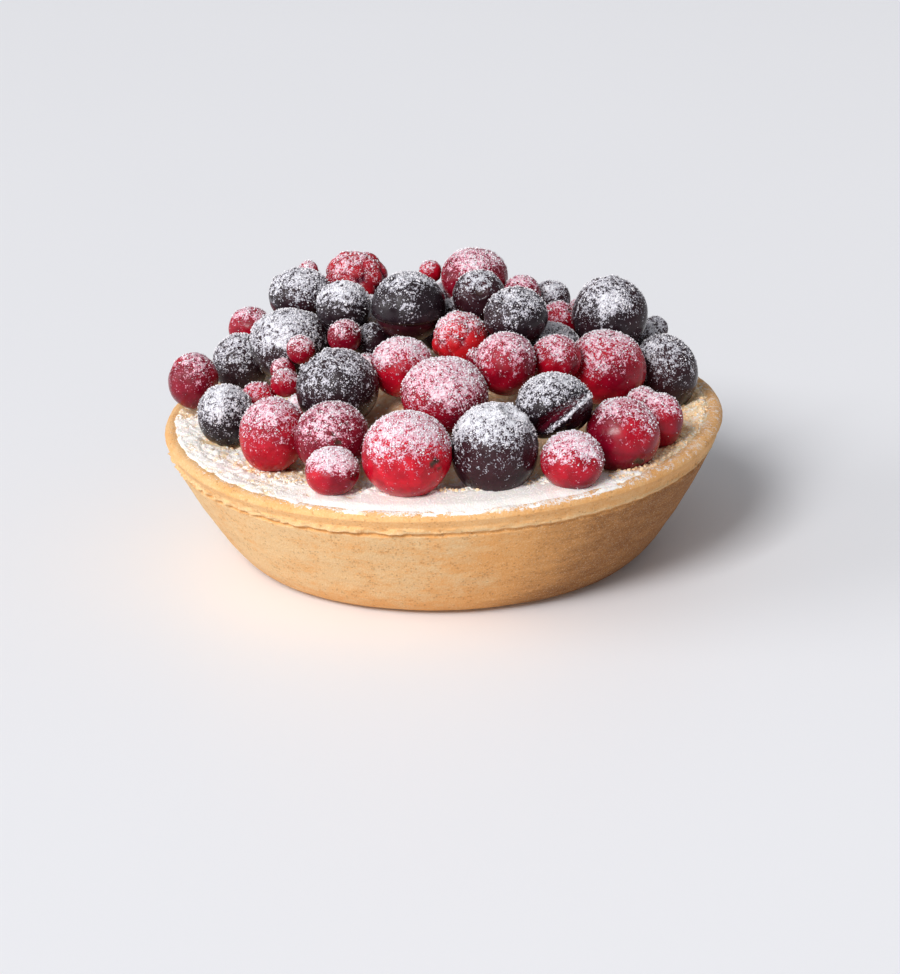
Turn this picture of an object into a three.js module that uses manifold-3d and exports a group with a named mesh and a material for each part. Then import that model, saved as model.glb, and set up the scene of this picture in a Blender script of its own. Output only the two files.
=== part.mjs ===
/**
 * A single-portion berry tart: a plain shortcrust bowl with a rolled rim, a domed almond-crumb
 * filling, and a loose heap of cranberries, blueberries, currants and two raspberries.
 *
 * Units are millimetres and +Z is up. The origin is the centre of the flat base.
 */
import Module from "manifold-3d";
import * as THREE from "three";
import { mergeVertices } from "three/addons/utils/BufferGeometryUtils.js";

// Driving dimensions of the pastry, all as radii from the upright axis and heights above the base.
const BASE_RADIUS = 34.4;
const SEAM_RADIUS = 48.6;
const SEAM_HEIGHT = 19.5;
const RIM_RADIUS = 50;
const RIM_HEIGHT = 24;
const RIM_THICKNESS = 2.6;
const SEAM_LIP = 0.5;
const FLOOR_THICKNESS = 4;
const WALL_THICKNESS = 4.4;
const BASE_ROUNDING = 1.6;
const WALL_CURVE = 0.7;
const CRUST_SEGMENTS = 54;

// Driving dimensions of the filling and of the clearance kept between any two solids.
const GAP = 0.3;
const FILLING_EDGE_HEIGHT = 23.2;
const FILLING_BED_HEIGHT = 21.7;
const FILLING_BED_RADIUS = 38;
const FILLING_RINGS = 8;
const DOME_RISE = 9.5;
const DOME_RADIUS = 34;
const DOME_FALLOFF = 1.3;
const DOME_SHIFT = 4;

// The baked case is a little crooked: its rim leans to one side and its outline isn't quite round.
const RIM_LEAN = 0.65;
const OUT_OF_ROUND = 0.35;

const COLOURS = {
  crust: 0xe2b77c,
  filling: 0xe9d2a8,
  cranberry: 0x9c1026,
  blueberry: 0x1f1a2c,
  currant: 0x8a1430,
  raspberry: 0xb81c34,
};

/**
 * Every berry is placed by hand: the centre (x, y, z), the width across, and the height.
 * The lists run from the front edge of the tart to its back.
 */
const CRANBERRIES = [
  [-6, -37.5, 30.5, 15, 14.5],
  [22, -37, 28.5, 10.5, 10],
  [-19, -36.5, 27.5, 9, 8],
  [31, -27, 29, 12.5, 12.5],
  [-19, -26.5, 29.5, 12.5, 12.5],
  [0.5, -21, 35, 14.5, 13.5],
  [-29.5, -20, 28.5, 11, 13.5],
  [38, -18, 28.5, 8, 9.5],
  [11.5, -14.5, 38.5, 10, 11],
  [35.5, -11.5, 29, 6, 6],
  [20.5, -10, 37.5, 8.5, 8.5],
  [-7, -8, 36, 10.5, 10.5],
  [29, -4.5, 34, 13.5, 13],
  [-32, -1.5, 28.5, 6.5, 6.5],
  [-44.5, 6.5, 29.5, 8.5, 10],
  [21.5, 12.5, 37, 7, 7],
  [15, 15.5, 41.5, 6.5, 6.5],
  [6.5, 19.5, 43.5, 11.5, 11],
  [16, 23.5, 30.5, 12.5, 11.5],
  [28, 28, 29.5, 14, 13.5],
  [-35, 28.5, 32, 7.5, 7.5],
  [3.5, 39, 29.5, 14.5, 14],
];
const BLUEBERRIES = [
  [9, -35, 30, 14.5, 15.5],
  [-18, -13, 34, 14, 13.5],
  [-38, -7, 27.5, 9.5, 10.5],
  [13, -4.5, 43.5, 11, 10],
  [7, 4, 45, 9, 8.5],
  [40, 4, 29.5, 12, 13],
  [20, 4, 33.5, 11, 11],
  [-12.5, 6.5, 36, 6.5, 6.5],
  [30.5, 8, 39.5, 13, 13],
  [3, 8, 40.5, 5.5, 5.5],
  [9, 11.5, 35, 11, 10.5],
  [-17, 10.5, 41, 9.5, 9],
  [-27, 12.5, 34, 14.5, 12.5],
  [34.5, 16, 29, 13, 13],
  [20.5, 19, 39, 6.5, 6.5],
  [-36.5, 20, 28, 10, 10],
  [-12, 19, 32, 12.5, 12],
  [39, 22, 31.5, 4.5, 4.5],
  [-25.5, 23, 39.5, 11, 9],
  [2, 26.5, 32, 13, 12.5],
  [-24, 30, 29, 13.5, 12.5],
  [16.5, 36.5, 29, 13.5, 13],
  [-11, 38, 29, 14, 13.5],
];
const CURRANTS = [
  [6, -9, 38, 3.5, 3.5],
  [-25, -6, 28, 5, 5],
  [-28.5, -2, 31, 5, 5],
  [-13, 1.5, 33, 5, 5],
  [-28, 3.5, 32.5, 4.5, 4.5],
  [-17, 2.5, 38.5, 6, 6],
  [-25, 2.5, 36, 5, 5],
  [-1.5, 22, 44, 4, 4],
  [-24, 29.5, 42, 3.5, 3.5],
];
const RASPBERRIES = [
  [4, -3, 39.5, 10.5, 10.5],
  [-15, 31, 39.5, 12.5, 12.5],
];
// Two blueberries have a shape of their own: one is pinched round its middle, one has split open.
const PINCHED_BLUEBERRY = [-5, 3.5, 43, 13, 13];
const SPLIT_BLUEBERRY = [19.5, -27.5, 34.5, 13, 11.5];
const SPLIT_WIDTH = 3.2;
const SPLIT_DEPTH = 4.5;
const SPLIT_TURN = -35;

// Facet counts of the berries, and how the heap is loosened until no two solids touch.
const BERRY_SEGMENTS = 9;
const CURRANT_SEGMENTS = 7;
const DRUPELET_DETAIL = 2;
const LOOSEN_ROUNDS = 400;

/** The height of the pastry's lean at a place, which fades to nothing at the base. */
function lean(x, y, z) {
  return RIM_LEAN * (x / RIM_RADIUS) * Math.pow(Math.max(z, 0) / RIM_HEIGHT, 1.5);
}

/** The height of the filling's top at a place, before the lean: a level bed with an off-centre dome. */
function fillingHeight(x, y) {
  const fromDome = Math.hypot(x, y - DOME_SHIFT) / DOME_RADIUS;
  const dome = DOME_RISE * Math.pow(Math.max(0, 1 - fromDome ** 2), DOME_FALLOFF);
  const edge = RIM_RADIUS - RIM_THICKNESS;
  const towardsEdge = THREE.MathUtils.smoothstep(Math.hypot(x, y), FILLING_BED_RADIUS, edge);
  return THREE.MathUtils.lerp(FILLING_BED_HEIGHT, FILLING_EDGE_HEIGHT, towardsEdge) + dome;
}

/** The height that a berry standing at (x, y) must clear. */
function surfaceHeight(x, y) {
  const height = fillingHeight(x, y);
  return height + lean(x, y, height);
}

/** Turns a three.js geometry into one closed body: shared corners merged, empty faces dropped. */
function closedBody(geometry) {
  geometry.deleteAttribute("uv");
  geometry.deleteAttribute("normal");
  const merged = mergeVertices(geometry, 1e-4);
  const corners = Array.from(merged.index.array);
  const kept = [];
  for (let i = 0; i < corners.length; i += 3) {
    const [a, b, c] = corners.slice(i, i + 3);
    if (a !== b && b !== c && c !== a) {
      kept.push(a, b, c);
    }
  }
  merged.setIndex(kept);
  merged.computeVertexNormals();
  return merged;
}

/** Revolves an outline of [radius, height] pairs, listed from below upwards, about the Z axis. */
function revolve(outline, segments) {
  const points = outline.map(([radius, height]) => new THREE.Vector2(radius, height));
  const lathe = new THREE.LatheGeometry(points, segments);
  lathe.rotateX(Math.PI / 2);
  return closedBody(lathe);
}

/** Moves every corner of a body by the crooked bake: the rim's lean and the uneven outline. */
function bake(body) {
  const places = body.attributes.position;
  for (let i = 0; i < places.count; i += 1) {
    const x = places.getX(i);
    const y = places.getY(i);
    const z = places.getZ(i);
    const angle = Math.atan2(y, x);
    const uneven = OUT_OF_ROUND * Math.sin(3 * angle + 0.8) + 0.5 * OUT_OF_ROUND * Math.sin(5 * angle);
    const swell = 1 + (uneven * z) / (RIM_HEIGHT * RIM_RADIUS);
    places.setXYZ(i, x * swell, y * swell, z + lean(x, y, z));
  }
  body.computeVertexNormals();
  return body;
}

/** Points of the crust's outside wall, bulging from the base up to the seam under the rim. */
function wallOutline(steps) {
  const outline = [];
  for (let step = 1; step < steps; step += 1) {
    const share = step / steps;
    const radius = BASE_RADIUS + (SEAM_RADIUS - BASE_RADIUS) * Math.pow(share, WALL_CURVE);
    outline.push([radius, SEAM_HEIGHT * share]);
  }
  return outline;
}

/** Points of the cavity from the rim's inner edge down to the floor, set in by a clearance. */
function cavityOutline(inset) {
  const top = RIM_RADIUS - RIM_THICKNESS - inset;
  const floor = FLOOR_THICKNESS + inset;
  return [
    [top, FILLING_EDGE_HEIGHT],
    [SEAM_RADIUS - WALL_THICKNESS - inset, SEAM_HEIGHT * 0.7],
    [BASE_RADIUS + 2.5 - inset, floor + 2.5],
    [BASE_RADIUS - 1 - inset, floor],
  ];
}

/** The pastry case: a flat base, a bulging wall, a thin lip at the seam and a smooth band as rim. */
function crustBody() {
  const outline = [
    [0, 0],
    [BASE_RADIUS - BASE_ROUNDING, 0],
    [BASE_RADIUS - 0.3 * BASE_ROUNDING, 0.3 * BASE_ROUNDING],
    ...wallOutline(7),
    [SEAM_RADIUS - 0.3, SEAM_HEIGHT - 0.7],
    [SEAM_RADIUS + SEAM_LIP, SEAM_HEIGHT],
    [SEAM_RADIUS + 0.3, SEAM_HEIGHT + 0.7],
    [RIM_RADIUS - 0.2, RIM_HEIGHT - 1.2],
    [RIM_RADIUS, RIM_HEIGHT - 0.5],
    [RIM_RADIUS - 0.8, RIM_HEIGHT],
    [RIM_RADIUS - RIM_THICKNESS, RIM_HEIGHT - 0.2],
    ...cavityOutline(0),
    [0, FLOOR_THICKNESS],
  ];
  return bake(revolve(outline, CRUST_SEGMENTS));
}

/** The filling: it fits the case's cavity, lies flush with the rim and rises to a low dome. */
function fillingBody() {
  const outline = [[0, FLOOR_THICKNESS + GAP], ...cavityOutline(GAP).reverse()];
  const edge = outline[outline.length - 1][0];
  for (let ring = FILLING_RINGS - 1; ring >= 0; ring -= 1) {
    outline.push([(edge * ring) / FILLING_RINGS, FILLING_EDGE_HEIGHT]);
  }
  const body = revolve(outline, CRUST_SEGMENTS);
  const places = body.attributes.position;
  for (let i = 0; i < places.count; i += 1) {
    if (places.getZ(i) > FILLING_EDGE_HEIGHT - GAP) {
      places.setZ(i, fillingHeight(places.getX(i), places.getY(i)));
    }
  }
  return bake(body);
}

/** A smooth round fruit with a shallow dent at its blossom end, of unit half sizes. */
function roundFruit(segments) {
  const rings = 6;
  const outline = [[0, -1]];
  for (let ring = 1; ring < rings; ring += 1) {
    const angle = (Math.PI * ring) / rings - Math.PI / 2;
    outline.push([Math.cos(angle), Math.sin(angle)]);
  }
  outline.push([0, 0.94]);
  return revolve(outline, segments);
}

/** A blueberry with the low open crown that its flower leaves, of unit half sizes. */
function crownedFruit() {
  const outline = [
    [0, -1],
    [0.5, -0.87],
    [0.87, -0.5],
    [1, 0],
    [0.85, 0.53],
    [0.42, 0.89],
    [0.36, 1],
    [0.22, 0.9],
    [0, 0.84],
  ];
  return revolve(outline, BERRY_SEGMENTS);
}

/** A blueberry pinched into a wide cap over a narrower lower half, of unit half sizes. */
function pinchedFruit() {
  const outline = [
    [0, -1],
    [0.5, -0.86],
    [0.84, -0.52],
    [0.92, -0.24],
    [0.9, -0.12],
    [1, 0.04],
    [0.96, 0.36],
    [0.72, 0.74],
    [0.36, 0.95],
    [0, 1],
  ];
  return revolve(outline, BERRY_SEGMENTS + 3);
}

/** A raspberry: a round body covered in rows of low drupelets, of unit half sizes. */
function drupeletFruit() {
  const body = closedBody(new THREE.IcosahedronGeometry(1, DRUPELET_DETAIL));
  const places = body.attributes.position;
  for (let i = 0; i < places.count; i += 1) {
    const corner = new THREE.Vector3().fromBufferAttribute(places, i).normalize();
    const angle = Math.atan2(corner.y, corner.x);
    const bump = Math.cos(6 * angle) * Math.cos(5 * Math.asin(corner.z));
    corner.multiplyScalar(0.93 + 0.06 * bump);
    places.setXYZ(i, corner.x, corner.y, corner.z);
  }
  body.computeVertexNormals();
  return body;
}

/** Moves a three.js body into the solid library. */
function toSolid(wasm, body) {
  const vertProperties = Float32Array.from(body.attributes.position.array);
  const triVerts = Uint32Array.from(body.index.array);
  return new wasm.Manifold(new wasm.Mesh({ numProp: 3, vertProperties, triVerts }));
}

/** Brings a solid back as a three.js body. */
function toBody(solid) {
  const mesh = solid.getMesh();
  const body = new THREE.BufferGeometry();
  body.setAttribute("position", new THREE.BufferAttribute(mesh.vertProperties, 3));
  body.setIndex(Array.from(mesh.triVerts));
  body.computeVertexNormals();
  return body;
}

/** The split blueberry: a wedge opens its front, running aslant from the top to below the middle. */
function splitFruit(wasm, width, height) {
  const fruit = roundFruit(BERRY_SEGMENTS + 3);
  fruit.scale(width / 2, width / 2, height / 2);
  const wedge = new THREE.Shape();
  wedge.moveTo(-SPLIT_WIDTH / 2, 0);
  wedge.lineTo(SPLIT_WIDTH / 2, 0);
  wedge.lineTo(0, SPLIT_DEPTH);
  wedge.closePath();
  const length = height * 0.9;
  const cutter = new THREE.ExtrudeGeometry(wedge, { depth: length, bevelEnabled: false });
  cutter.translate(0, -width / 2 - 0.1, -length / 2);
  cutter.rotateY(THREE.MathUtils.degToRad(SPLIT_TURN));
  return toBody(toSolid(wasm, fruit).subtract(toSolid(wasm, closedBody(cutter))));
}

/** How far a berry reaches from its centre in a unit direction, as the spheroid that it is. */
function reach(berry, direction) {
  const level = (direction.x ** 2 + direction.y ** 2) / (berry.width / 2) ** 2;
  const upright = direction.z ** 2 / (berry.height / 2) ** 2;
  return 1 / Math.sqrt(level + upright);
}

/** Lifts a berry off the filling where it would sink into it, allowing for the slope of the dome. */
function clearFilling(berry) {
  const { x, y } = berry.centre;
  const step = 1;
  const slopeX = (surfaceHeight(x + step, y) - surfaceHeight(x - step, y)) / (2 * step);
  const slopeY = (surfaceHeight(x, y + step) - surfaceHeight(x, y - step)) / (2 * step);
  const steepness = Math.hypot(1, slopeX, slopeY);
  const needed = surfaceHeight(x, y) + ((berry.height / 2) * steepness + GAP);
  berry.centre.z = Math.max(berry.centre.z, needed);
}

/** Pushes berries apart by small equal steps until every two of them keep the gap. */
function loosen(berries) {
  for (let round = 0; round < LOOSEN_ROUNDS; round += 1) {
    for (let i = 0; i < berries.length; i += 1) {
      for (let j = i + 1; j < berries.length; j += 1) {
        const apart = berries[j].centre.clone().sub(berries[i].centre);
        const distance = apart.length();
        apart.normalize();
        const needed = reach(berries[i], apart) + reach(berries[j], apart) + GAP;
        if (distance < needed) {
          apart.multiplyScalar((needed - distance) / 2);
          berries[i].centre.sub(apart);
          berries[j].centre.add(apart);
        }
      }
    }
    berries.forEach(clearFilling);
  }
}

/** Reads a placement list into berries named after their kind and numbered from the front. */
function gather(kind, placements, colour) {
  return placements.map(([x, y, z, width, height], index) => ({
    name: `${kind}_${String(index + 1).padStart(2, "0")}`,
    kind,
    colour,
    centre: new THREE.Vector3(x, y, z),
    width,
    height,
  }));
}

/** The body of a berry at its real size, centred on the origin. */
function berryBody(wasm, berry) {
  if (berry.kind === "split_blueberry") {
    return splitFruit(wasm, berry.width, berry.height);
  }
  const shapes = {
    cranberry: () => roundFruit(BERRY_SEGMENTS),
    blueberry: crownedFruit,
    currant: () => roundFruit(CURRANT_SEGMENTS),
    raspberry: drupeletFruit,
    pinched_blueberry: pinchedFruit,
  };
  const body = shapes[berry.kind]();
  body.scale(berry.width / 2, berry.width / 2, berry.height / 2);
  body.computeVertexNormals();
  return body;
}

/** A named mesh with a material of its own. */
function part(name, body, colour, roughness) {
  const material = new THREE.MeshStandardMaterial({ color: colour, roughness, metalness: 0 });
  const mesh = new THREE.Mesh(body, material);
  mesh.name = name;
  return mesh;
}

const wasm = await Module();
wasm.setup();

const tart = new THREE.Group();
tart.add(part("crust", crustBody(), COLOURS.crust, 0.8));
tart.add(part("filling", fillingBody(), COLOURS.filling, 0.9));

const heap = [
  ...gather("cranberry", CRANBERRIES, COLOURS.cranberry),
  ...gather("blueberry", BLUEBERRIES, COLOURS.blueberry),
  ...gather("currant", CURRANTS, COLOURS.currant),
  ...gather("raspberry", RASPBERRIES, COLOURS.raspberry),
  ...gather("pinched_blueberry", [PINCHED_BLUEBERRY], COLOURS.blueberry),
  ...gather("split_blueberry", [SPLIT_BLUEBERRY], COLOURS.blueberry),
];
loosen(heap);
for (const berry of heap) {
  const mesh = part(berry.name, berryBody(wasm, berry), berry.colour, 0.35);
  mesh.position.copy(berry.centre);
  tart.add(mesh);
}

export default tart;
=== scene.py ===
"""A berry tart: a baked pastry bowl, an almond-crumb filling and a heap of sugared berries.

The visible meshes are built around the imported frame, whose nodes give every place and size.
Lengths are in metres, and MM turns a number of millimetres into metres.
"""

import logging
import math
from collections.abc import Callable
from dataclasses import dataclass, field
from enum import Enum
from itertools import product

import bmesh
import bpy
import numpy as np
from mathutils import Matrix, Vector


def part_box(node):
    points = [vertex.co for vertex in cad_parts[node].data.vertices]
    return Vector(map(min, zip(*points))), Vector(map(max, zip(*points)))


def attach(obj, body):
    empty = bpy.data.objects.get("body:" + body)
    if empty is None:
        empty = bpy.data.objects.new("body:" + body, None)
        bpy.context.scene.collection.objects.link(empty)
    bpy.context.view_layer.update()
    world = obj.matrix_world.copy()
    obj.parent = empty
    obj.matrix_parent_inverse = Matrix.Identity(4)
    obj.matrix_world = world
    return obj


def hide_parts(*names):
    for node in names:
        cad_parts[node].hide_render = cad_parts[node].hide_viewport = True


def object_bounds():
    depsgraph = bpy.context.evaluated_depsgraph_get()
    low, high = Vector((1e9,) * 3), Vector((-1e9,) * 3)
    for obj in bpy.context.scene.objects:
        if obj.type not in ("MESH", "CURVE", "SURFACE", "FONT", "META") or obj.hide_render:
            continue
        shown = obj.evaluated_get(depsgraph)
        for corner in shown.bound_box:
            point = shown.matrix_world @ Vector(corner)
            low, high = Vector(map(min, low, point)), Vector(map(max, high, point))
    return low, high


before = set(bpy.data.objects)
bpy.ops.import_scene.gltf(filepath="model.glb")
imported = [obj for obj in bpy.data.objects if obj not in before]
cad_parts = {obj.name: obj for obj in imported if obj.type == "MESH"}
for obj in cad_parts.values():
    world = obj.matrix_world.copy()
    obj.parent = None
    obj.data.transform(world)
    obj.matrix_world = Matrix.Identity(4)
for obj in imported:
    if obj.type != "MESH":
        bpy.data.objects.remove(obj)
CAD_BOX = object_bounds()

MM = 0.001
BODY = "root"
CAD_TOP = float(CAD_BOX[1][2])
# The marks that a mesh holds for each corner.
SUGAR = "sugar"
SKIN = "skin"
# Browning of the pastry, with painted shade on its right-hand side and in the crease under the seam, and
# painted light on its left.
BAKED_AND_SHADED = "baked_and_shaded"
# How much of the rolled band's colour lies on the case, raised at the far right as painted light.
ROLLED_AND_LIT = "rolled_and_lit"
# Juice stains on the crumb, with painted shade in the middle under the heap.
JUICE_AND_SHADE = "juice_and_shade"

Array = np.ndarray
Triple = tuple[float, float, float]
Colour = Triple
Socket = bpy.types.NodeSocket
Value = Socket | float | Triple

log = logging.getLogger("tart")


# ---------------------------------------------------------------------------------------------
# Shared shape tools
# ---------------------------------------------------------------------------------------------


def smooth_step(low: float, high: float, value: Array) -> Array:
    """Rises smoothly from 0 at low to 1 at high; low may be the larger of the two."""
    share = np.clip((value - low) / (high - low), 0.0, 1.0)
    return share * share * (3.0 - 2.0 * share)


# Large odd numbers that give each corner of a noise cell its own value, as if by chance.
AXIS_FACTORS = np.array([73856093, 19349663, 83492791])
SEED_FACTOR = 2654435761
STIRRING = ((15, 2246822519), (13, 3266489917))


def value_noise(points: Array, size: float, seed: int) -> Array:
    """Smooth random hills and dips.

    Args:
        points: places, one per row.
        size: distance between neighbouring hills, in the unit of the points.
        seed: picks one pattern.

    Returns:
        One number from -1 to 1 for each place.
    """
    scaled = points / size
    cell = np.floor(scaled).astype(np.int64)
    inside = scaled - cell
    inside = inside * inside * (3.0 - 2.0 * inside)
    total = np.zeros(len(points))
    for corner in product((0, 1), repeat=3):
        index = (cell + np.array(corner)) & 0xFFFFF
        mixed = np.bitwise_xor.reduce(index * AXIS_FACTORS, axis=1)
        mixed = (mixed + seed * SEED_FACTOR) & 0xFFFFFFFF
        for shift, factor in STIRRING:
            mixed = ((mixed ^ (mixed >> shift)) * factor) & 0xFFFFFFFF
        value = ((mixed ^ (mixed >> 16)) & 0xFFFF) / 32767.5 - 1.0
        weight = np.ones(len(points))
        for axis in range(3):
            weight = weight * (inside[:, axis] if corner[axis] else 1.0 - inside[:, axis])
        total += value * weight
    return total


def rough_noise(points: Array, size: float, seed: int, layers: int = 3) -> Array:
    """Value noise in several layers, each half as wide and half as strong as the one before.

    Args:
        points: places, one per row.
        size: distance between the widest hills.
        seed: picks one pattern.
        layers: how many there are.

    Returns:
        One number from -1 to 1 for each place.
    """
    total = np.zeros(len(points))
    strength = 1.0
    for layer in range(layers):
        total += strength * value_noise(points, size / 2**layer, seed + 17 * layer)
        strength *= 0.5
    return total / (2.0 - 0.5 ** (layers - 1))


@dataclass(frozen=True)
class Ripple:
    """Unevenness in several layers: its height, the distance between its hills and its seed."""

    height: float
    size: float
    seed: int
    layers: int = 3

    def at(self, points: Array) -> Array:
        """The rise at each place, down or up by no more than the height."""
        return self.height * rough_noise(points, self.size, self.seed, self.layers)


def quad_ball(cuts: int) -> tuple[Array, Array]:
    """A ball made of six bulging square grids, so that it has no poles.

    Args:
        cuts: squares along one side of each grid.

    Returns:
        Unit directions, and quads facing out.
    """
    steps = np.tan(np.linspace(-math.pi / 4, math.pi / 4, cuts + 1))
    across, along = np.meshgrid(steps, steps, indexing="ij")
    corners: list[Array] = []
    quads: list[Array] = []
    index = np.arange((cuts + 1) ** 2).reshape(cuts + 1, cuts + 1)
    square = np.stack([index[:-1, :-1], index[1:, :-1], index[1:, 1:], index[:-1, 1:]], -1).reshape(-1, 4)
    for axis, side in product(range(3), (-1.0, 1.0)):
        grid = np.empty(((cuts + 1) ** 2, 3))
        grid[:, axis] = side
        grid[:, (axis + 1) % 3] = across.ravel()
        grid[:, (axis + 2) % 3] = along.ravel()
        corners.append(grid)
        quads.append((square if side > 0 else square[:, ::-1]) + len(grid) * len(quads))
    points = np.concatenate(corners)
    points /= np.linalg.norm(points, axis=1, keepdims=True)
    _, first, back = np.unique(np.round(points, 6), axis=0, return_index=True, return_inverse=True)
    return points[first], back.reshape(-1)[np.concatenate(quads)]


def even_directions(count: int) -> Array:
    """Unit directions spread evenly over a ball along one winding line.

    Args:
        count: how many there are.

    Returns:
        One direction per row.
    """
    step = np.arange(count) + 0.5
    height = 1.0 - 2.0 * step / count
    turn = math.pi * (1.0 + math.sqrt(5.0)) * step
    level = np.sqrt(1.0 - height * height)
    return np.stack([level * np.cos(turn), level * np.sin(turn), height], -1)


def linked(name: str, data: bpy.types.ID) -> bpy.types.Object:
    """A new object at the origin that shows the data, linked to the scene.

    Args:
        name: the object's name.
        data: its mesh, light or camera.

    Returns:
        The object.
    """
    thing = bpy.data.objects.new(name, data)
    bpy.context.scene.collection.objects.link(thing)
    return thing


@dataclass
class Shell:
    """A mesh in the making: its corners, its faces and a number or colour for each corner."""

    corners: Array
    faces: Array
    marks: dict[str, Array] = field(default_factory=dict)

    def to_object(self, name: str, material: bpy.types.Material | None = None) -> bpy.types.Object:
        """Makes the object that the viewer sees.

        Args:
            name: the object's name.
            material: the finish of every face, if it has one.

        Returns:
            A smooth-shaded object at the origin, linked to the scene.
        """
        mesh = bpy.data.meshes.new(name)
        mesh.from_pydata(self.corners.tolist(), [], self.faces.tolist())
        mesh.shade_smooth()
        for mark, values in self.marks.items():
            if values.ndim == 1:
                layer = mesh.attributes.new(mark, "FLOAT", "POINT")
                layer.data.foreach_set("value", values.astype(np.float32))
            else:
                layer = mesh.attributes.new(mark, "FLOAT_COLOR", "POINT")
                solid = np.concatenate([values, np.ones((len(values), 1))], axis=1)
                layer.data.foreach_set("color", solid.astype(np.float32).ravel())
        if material:
            mesh.materials.append(material)
        mesh.validate()
        return linked(name, mesh)


def joined(shells: list[Shell], mark: str) -> Shell:
    """All the shells as one, keeping one of their marks.

    Args:
        shells: the meshes in the making.
        mark: the mark that is kept.

    Returns:
        One shell.
    """
    faces = []
    start = 0
    for shell in shells:
        faces.append(shell.faces + start)
        start += len(shell.corners)
    return Shell(
        np.concatenate([shell.corners for shell in shells]),
        np.concatenate(faces),
        {mark: np.concatenate([shell.marks[mark] for shell in shells])},
    )


def arc(centre: Array, radii: Array, start: float, end: float, steps: int) -> Array:
    """Points along part of an oval from one angle to another in degrees, without the first."""
    turn = np.radians(np.linspace(start, end, steps)[1:])
    return centre + radii * np.stack([np.cos(turn), np.sin(turn)], -1)


def revolved(outline: Array, turns: int) -> tuple[Array, Array]:
    """Carries an outline round the upright axis.

    Args:
        outline: radius and height of each ring.
        turns: corners in each ring.

    Returns:
        The corners, ring by ring, and at each the level direction away from the axis.
    """
    turn = np.arange(turns) * math.tau / turns
    outward = np.tile(np.stack([np.cos(turn), np.sin(turn), np.zeros(turns)], -1), (len(outline), 1))
    radius, height = np.repeat(outline, turns, axis=0).T
    return np.stack([outward[:, 0] * radius, outward[:, 1] * radius, height], -1), outward


def revolved_faces(rings: int, turns: int) -> Array:
    """Quads between rings of corners, facing out where the rings run outwards and then up.

    A ring on the axis holds every corner at one place, which merging closes.

    Args:
        rings: how many rings there are.
        turns: corners in each ring.

    Returns:
        Four corner numbers for each face.
    """
    ring, turn = np.meshgrid(np.arange(rings - 1), np.arange(turns), indexing="ij")
    after = (turn + 1) % turns
    low, high = ring * turns, (ring + 1) * turns
    return np.stack([low + turn, low + after, high + after, high + turn], -1).reshape(-1, 4)


def merged(piece: bpy.types.Object, distance: float = 1e-7) -> bpy.types.Object:
    """Merges corners that lie at one place, so that poles and seams are closed.

    Args:
        piece: the object.
        distance: how close corners merge.

    Returns:
        The same object.
    """
    grown = bmesh.new()
    grown.from_mesh(piece.data)
    bmesh.ops.remove_doubles(grown, verts=grown.verts, dist=distance)
    bmesh.ops.dissolve_degenerate(grown, dist=distance, edges=grown.edges)
    grown.to_mesh(piece.data)
    grown.free()
    return piece


def hand_over(piece: bpy.types.Object, nodes: tuple[str, ...] = ()) -> None:
    """Hangs a piece on the empty of the body that it rides on, hides the frame's nodes that it stands for and
    logs its faces.

    Args:
        piece: the finished object.
        nodes: the frame's nodes that it replaces.
    """
    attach(piece, BODY)
    if nodes:
        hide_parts(*nodes)
    log.info("%s: %d faces", piece.name, len(piece.data.polygons))


# ---------------------------------------------------------------------------------------------
# Finishes
# ---------------------------------------------------------------------------------------------


# The two inputs and the output of a mix node, by what it mixes.
MIX_SOCKETS = {"FLOAT": (2, 3, 0), "RGBA": (6, 7, 2)}


@dataclass(frozen=True)
class Cloud:
    """Cloudy noise about 0.5.

    Fields:
        size: how far apart its hills are, about.
        detail: how many finer layers it has.
        roughness: how strong the finer layers are.
        stretch: scale of the place along each axis, which draws the pattern out.
    """

    size: float
    detail: float = 2.0
    roughness: float = 0.5
    stretch: Triple | None = None


class NodeBench:
    """Adds nodes to one tree and joins them."""

    def __init__(self, tree: bpy.types.NodeTree) -> None:
        """Works on a tree that is there already."""
        self.tree = tree

    def add(self, kind: str, *terms: Value, **settings: object) -> bpy.types.Node:
        """Adds a node.

        Args:
            kind: the node's type.
            terms: what its first inputs get, in order.
            settings: its own fields, in small letters, and what inputs get, by name with a capital.

        Returns:
            The node.
        """
        node = self.tree.nodes.new(kind)
        for key in [key for key in settings if key[0].islower()]:
            setattr(node, key, settings.pop(key))
        for socket, term in zip(node.inputs, terms):
            self.feed(socket, term)
        self.fill(node, **settings)
        return node

    def fill(self, node: bpy.types.Node, **inputs: object) -> None:
        """Feeds a node's inputs by name; underscores stand for spaces."""
        for key, value in inputs.items():
            self.feed(node.inputs[key.replace("_", " ")], value)

    def feed(self, socket: Socket, value: object) -> None:
        """Joins a socket to another one, or sets it to a plain value.

        Args:
            socket: the input.
            value: the output to join to it, or a plain value.
        """
        if isinstance(value, bpy.types.NodeSocket):
            self.tree.links.new(value, socket)
        elif socket.type == "RGBA":
            socket.default_value = (*value, 1.0)
        else:
            socket.default_value = value


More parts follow.
